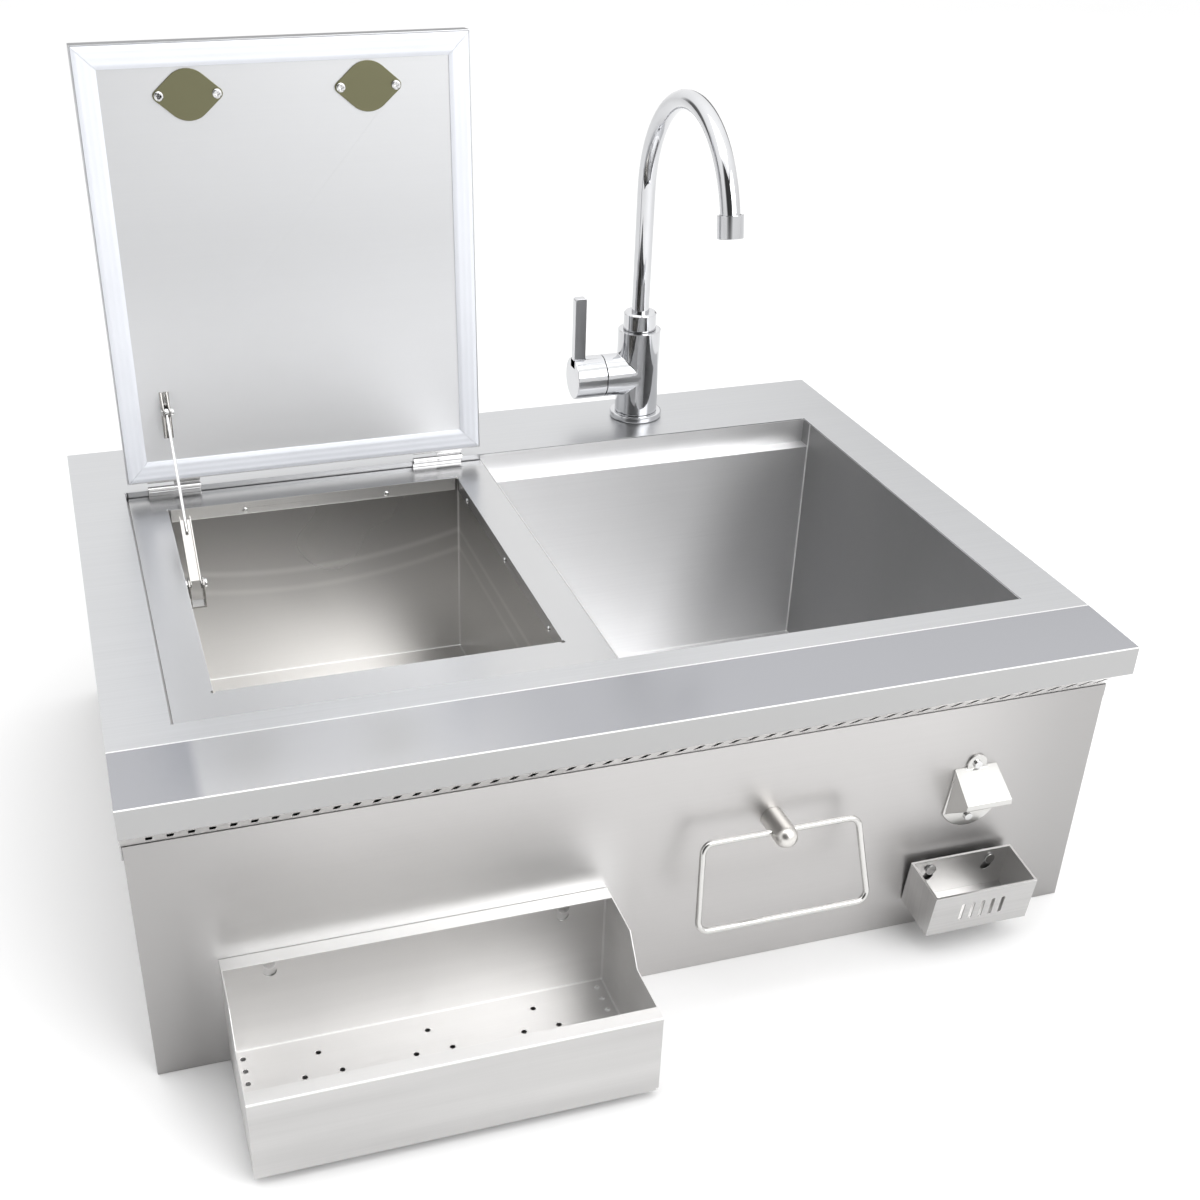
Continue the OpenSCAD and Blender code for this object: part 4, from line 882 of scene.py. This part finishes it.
LID_SHELL = brushed_steel("lid_shell_brushed", (0.60, 0.605, 0.615), 0.44, depth=2e-6, contrast=0.03,
                          deep=lid_edge_shade, share=0.3)
COVER = brushed_steel("cover_olive", (0.18, 0.175, 0.105), 0.24)
RAIL = brushed_steel("rail_brushed", (0.56, 0.555, 0.55), 0.42, contrast=0.26, deep=rail_inside_light, share=1.75,
                     bright=rail_fold_highlights, clouds=(3, 30, 40), cloudy=0.82)
BOX = brushed_steel("box_brushed", (0.53, 0.525, 0.52), 0.34, contrast=0.2, deep=box_inside_light, share=1.35,
                    clouds=(10, 40, 60))
POLISHED = polished("polished_steel", (0.62, 0.615, 0.60), 0.16)
CHROME = polished("chrome_plate", (0.60, 0.605, 0.62), 0.045)
STAY = polished("stay_steel", (0.45, 0.44, 0.425), 0.2)
SCREW = polished("bright_steel", (0.72, 0.72, 0.72), 0.2)
SATIN = brushed_steel("satin_steel", (0.68, 0.665, 0.64), 0.3, "Y")
BRASS = polished("plain_brass", (0.66, 0.52, 0.27), 0.3)
VINYL = soft_finish("white_vinyl", (0.77, 0.79, 0.84), 0.5)
RUBBER = soft_finish("black_rubber", (0.05, 0.05, 0.05), 0.65)
FOAM = soft_finish("cut_foam", (0.80, 0.74, 0.52), 0.9, 900, 1e-4)
PLASTIC = soft_finish("moulded_plastic", (0.82, 0.82, 0.82), 0.45)

# Nodes whose own form is right: their finish, and the rounding of their edges in millimetres
EASED = {
    "deck_top": (DECK, 0.45), "deck_stiffener": (PANEL, 0.3), "front_panel": (PANEL, 0.3),
    "left_panel": (PANEL, 0.3), "right_panel": (PANEL, 0.3), "back_panel": (PANEL, 0.3),
    "sink_bowl": (BOWL, 0.35), "bin_frame": (FRAME, 0.45), "bin_ledge": (PANEL, 0.3),
    "bin_rivets": (SCREW, 0.5), "bin_liner": (LINER, 0.3), "bin_shell": (SHELL, 0.25),
    "sink_drain_body": (POLISHED, 0.4), "drain_strainer": (POLISHED, 0.25),
    "sink_drain_nut": (BRASS, 0.5), "bin_drain_body": (POLISHED, 0.4), "bin_drain_nut": (BRASS, 0.5),
    "lid_shell": (LID_SHELL, 0.5), "lid_panel": (LID, 0.25), "lid_cover_plates": (COVER, 0.3),
    "cover_plate_screws": (SCREW, 0.25), "handle_screws": (SCREW, 0.4),
    "hinge_fixed_leaves": (SCREW, 0.25), "hinge_lid_leaves": (SCREW, 0.25),
    "hinge_pins": (SCREW, 0.2), "stay_upper_bracket": (STAY, 0.3), "stay_upper_pin": (SCREW, 0.5),
    "stay_rod": (SCREW, 0.25), "stay_channel": (STAY, 0.25), "stay_lower_bracket": (STAY, 0.3),
    "stay_lower_pins": (SCREW, 0.7), "faucet_base_ring": (CHROME, 1.6), "faucet_body": (CHROME, 1.0),
    "handle_cap": (CHROME, 1.0), "faucet_lever": (CHROME, 0.7), "spout_aerator": (CHROME, 0.5),
    "faucet_shank": (BRASS, 0.6), "shank_nut": (BRASS, 0.6), "opener_plate": (POLISHED, 0.7),
    "opener_screws": (SCREW, 0.5), "towel_post": (SATIN, 0.5), "towel_post_screw": (SCREW, 0.4),
    "rail_hanger_screws": (SCREW, 0.5), "catcher_hanger_screws": (SCREW, 0.5),
    "hanger_nuts": (SCREW, 0.3), "speed_rail": (RAIL, 0.32), "cap_catcher": (BOX, 0.32),
    "lever_pin": (SCREW, 0.2), "sink_drain_gasket": (RUBBER, 0.4), "shank_washer": (RUBBER, 0.5),
    "bin_insulation": (FOAM, 0.8), "lid_core": (FOAM, 0.5), "valve_cartridge": (PLASTIC, 0.5),
}


def eased_nodes():
    """Sheet, bar and turned pieces, with their edges rounded."""
    for node, (finish, width) in EASED.items():
        piece = from_node(node)
        ease(piece, width * MM)
        smooth(piece)
        dress(piece, finish, NODES[node]["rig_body"], SLOTS[node], node)


def faucet_spout():
    """The tube over its bow, and the collar that turns on the body."""
    axis = joint_place("spout_swivel")
    crown = Vector((axis.x, axis.y - BOW_R, BOW_Z))
    end = math.pi - OUTLET_LEAN
    line = [axis + Z_AXIS * TUBE_LAP] + arc(crown, BOW_R, 0, end, Y_AXIS, Z_AXIS, steps=60)
    tube = swept("spout_tube", line, TUBE_R)
    foot = axis.z
    cut = COLLAR_CUT
    collar = turned("spout_collar", [(TUBE_R, foot), (COLLAR_R, foot), (COLLAR_R, foot + COLLAR_H - cut),
                                     (COLLAR_R - cut, foot + COLLAR_H), (TUBE_R, foot + COLLAR_H)],
                    (axis.x, axis.y, 0), steps=96)
    ease(collar, COLLAR_EASE)
    smooth(collar)
    dress(tube, CHROME, "spout", "faucet_chrome", "faucet_spout")
    dress(collar, CHROME, "spout", "faucet_chrome", "faucet_spout")


def towel_ring():
    """A closed ring of round rod, wider at its foot."""
    hang = joint_place("towel_ring_swing")
    down = (Matrix.Rotation(-RING_SWING, 3, "X") @ -Z_AXIS).normalized()
    corners = [(-RING_TOP, 0), (RING_TOP, 0), (RING_FOOT, RING_DROP), (-RING_FOOT, RING_DROP)]
    points = []
    for i, corner in enumerate(corners):
        before, after = Vector(corners[i - 1]), Vector(corners[(i + 1) % len(corners)])
        points += round_corner(before, Vector(corner), after, RING_BEND)
    line = [hang + X_AXIS * p.x + down * p.y for p in points]
    ring = swept("towel_ring_rod", line, RING_R, closed=True)
    dress(ring, POLISHED, "towel_ring", "polished_steel", "towel_ring")


def lid_place():
    """Where the lid's own frame stands on the open lid."""
    hinge = joint_place("lid_hinge")
    stand = Matrix.Rotation(math.pi / 2 - LID_LEAN, 4, "X")
    return Matrix.Translation((LID_X, hinge.y, hinge.z)) @ stand


def lid_handle():
    """A bent bar on the far side of the lid."""
    z = LID_OUT - GRIP_OUT
    ends = [(-GRIP_DX, LID_OUT), (-GRIP_DX, z), (GRIP_DX, z), (GRIP_DX, LID_OUT)]
    first, second, third, last = (Vector(end) for end in ends)
    points = [first] + round_corner(first, second, third, GRIP_BEND, steps=12)
    points += round_corner(second, third, last, GRIP_BEND, steps=12) + [last]
    bar = swept("lid_handle_bar", [Vector((p.x, GRIP_S, p.y)) for p in points], GRIP_R)
    move(bar, lid_place())
    dress(bar, POLISHED, "lid", "polished_steel", "lid_handle")


def rib_height(across):
    """Height of the gasket's ribbed face, with across from 0 at its inner edge to 1 at its outer edge."""
    ribs = 0.5 - 0.5 * math.cos(math.tau * GASKET_RIBS * across)
    from_edge = min(across, 1 - across, GASKET_SHOULDER) / GASKET_SHOULDER
    shoulder = math.sin(0.5 * math.pi * from_edge)
    return GASKET_T * (GASKET_FACE + GASKET_RIB * ribs) * (GASKET_EDGE + (1 - GASKET_EDGE) * shoulder)


def lid_gasket():
    """Four ribbed bars that meet in mitres."""
    half = LID_HALF - GASKET_IN
    low, high = LID_BACK + GASKET_IN, LID_END - GASKET_IN
    middle = (low + high) / 2
    sides = [((0, high), 0, 2 * half), ((0, low), math.pi, 2 * half),
             ((half, middle), -math.pi / 2, high - low), ((-half, middle), math.pi / 2, high - low)]
    for i, ((x, y), turn, length) in enumerate(sides):
        bar = mitred_bar(f"gasket_bar_{i}", length)
        place = lid_place() @ Matrix.Translation((x, y, LID_IN)) @ Matrix.Rotation(turn, 4, "Z")
        move(bar, place)
        smooth(bar, angle=40)
        dress(bar, VINYL, "lid", "gasket_vinyl", "lid_gasket")


def mitred_bar(name, length, rows=32):
    """A ribbed bar along X with its outer edge on the X axis, shortened inwards along its mitres."""
    bpy.ops.object.select_all(action="DESELECT")
    bpy.ops.mesh.primitive_grid_add(x_subdivisions=2, y_subdivisions=rows, size=1)
    bar = bpy.context.active_object
    bar.name = name
    for corner in bar.data.vertices:
        across = corner.co.y + 0.5
        inwards = (1 - across) * GASKET_W
        reach = length / 2 - inwards - MITRE_GAP
        corner.co = (math.copysign(reach, corner.co.x), -inwards, rib_height(across))
    edit(bar)
    bpy.ops.mesh.extrude_region_move(TRANSFORM_OT_translate={"value": (0, 0, -2 * GASKET_T)})
    bpy.ops.mesh.select_all(action="SELECT")
    done()
    for corner in bar.data.vertices:
        corner.co.z = max(corner.co.z, 0.0)
    edit(bar)
    bpy.ops.mesh.normals_make_consistent(inside=False)
    done()
    bpy.context.view_layer.update()
    return bar


eased_nodes()
faucet_spout()
towel_ring()
lid_handle()
lid_gasket()
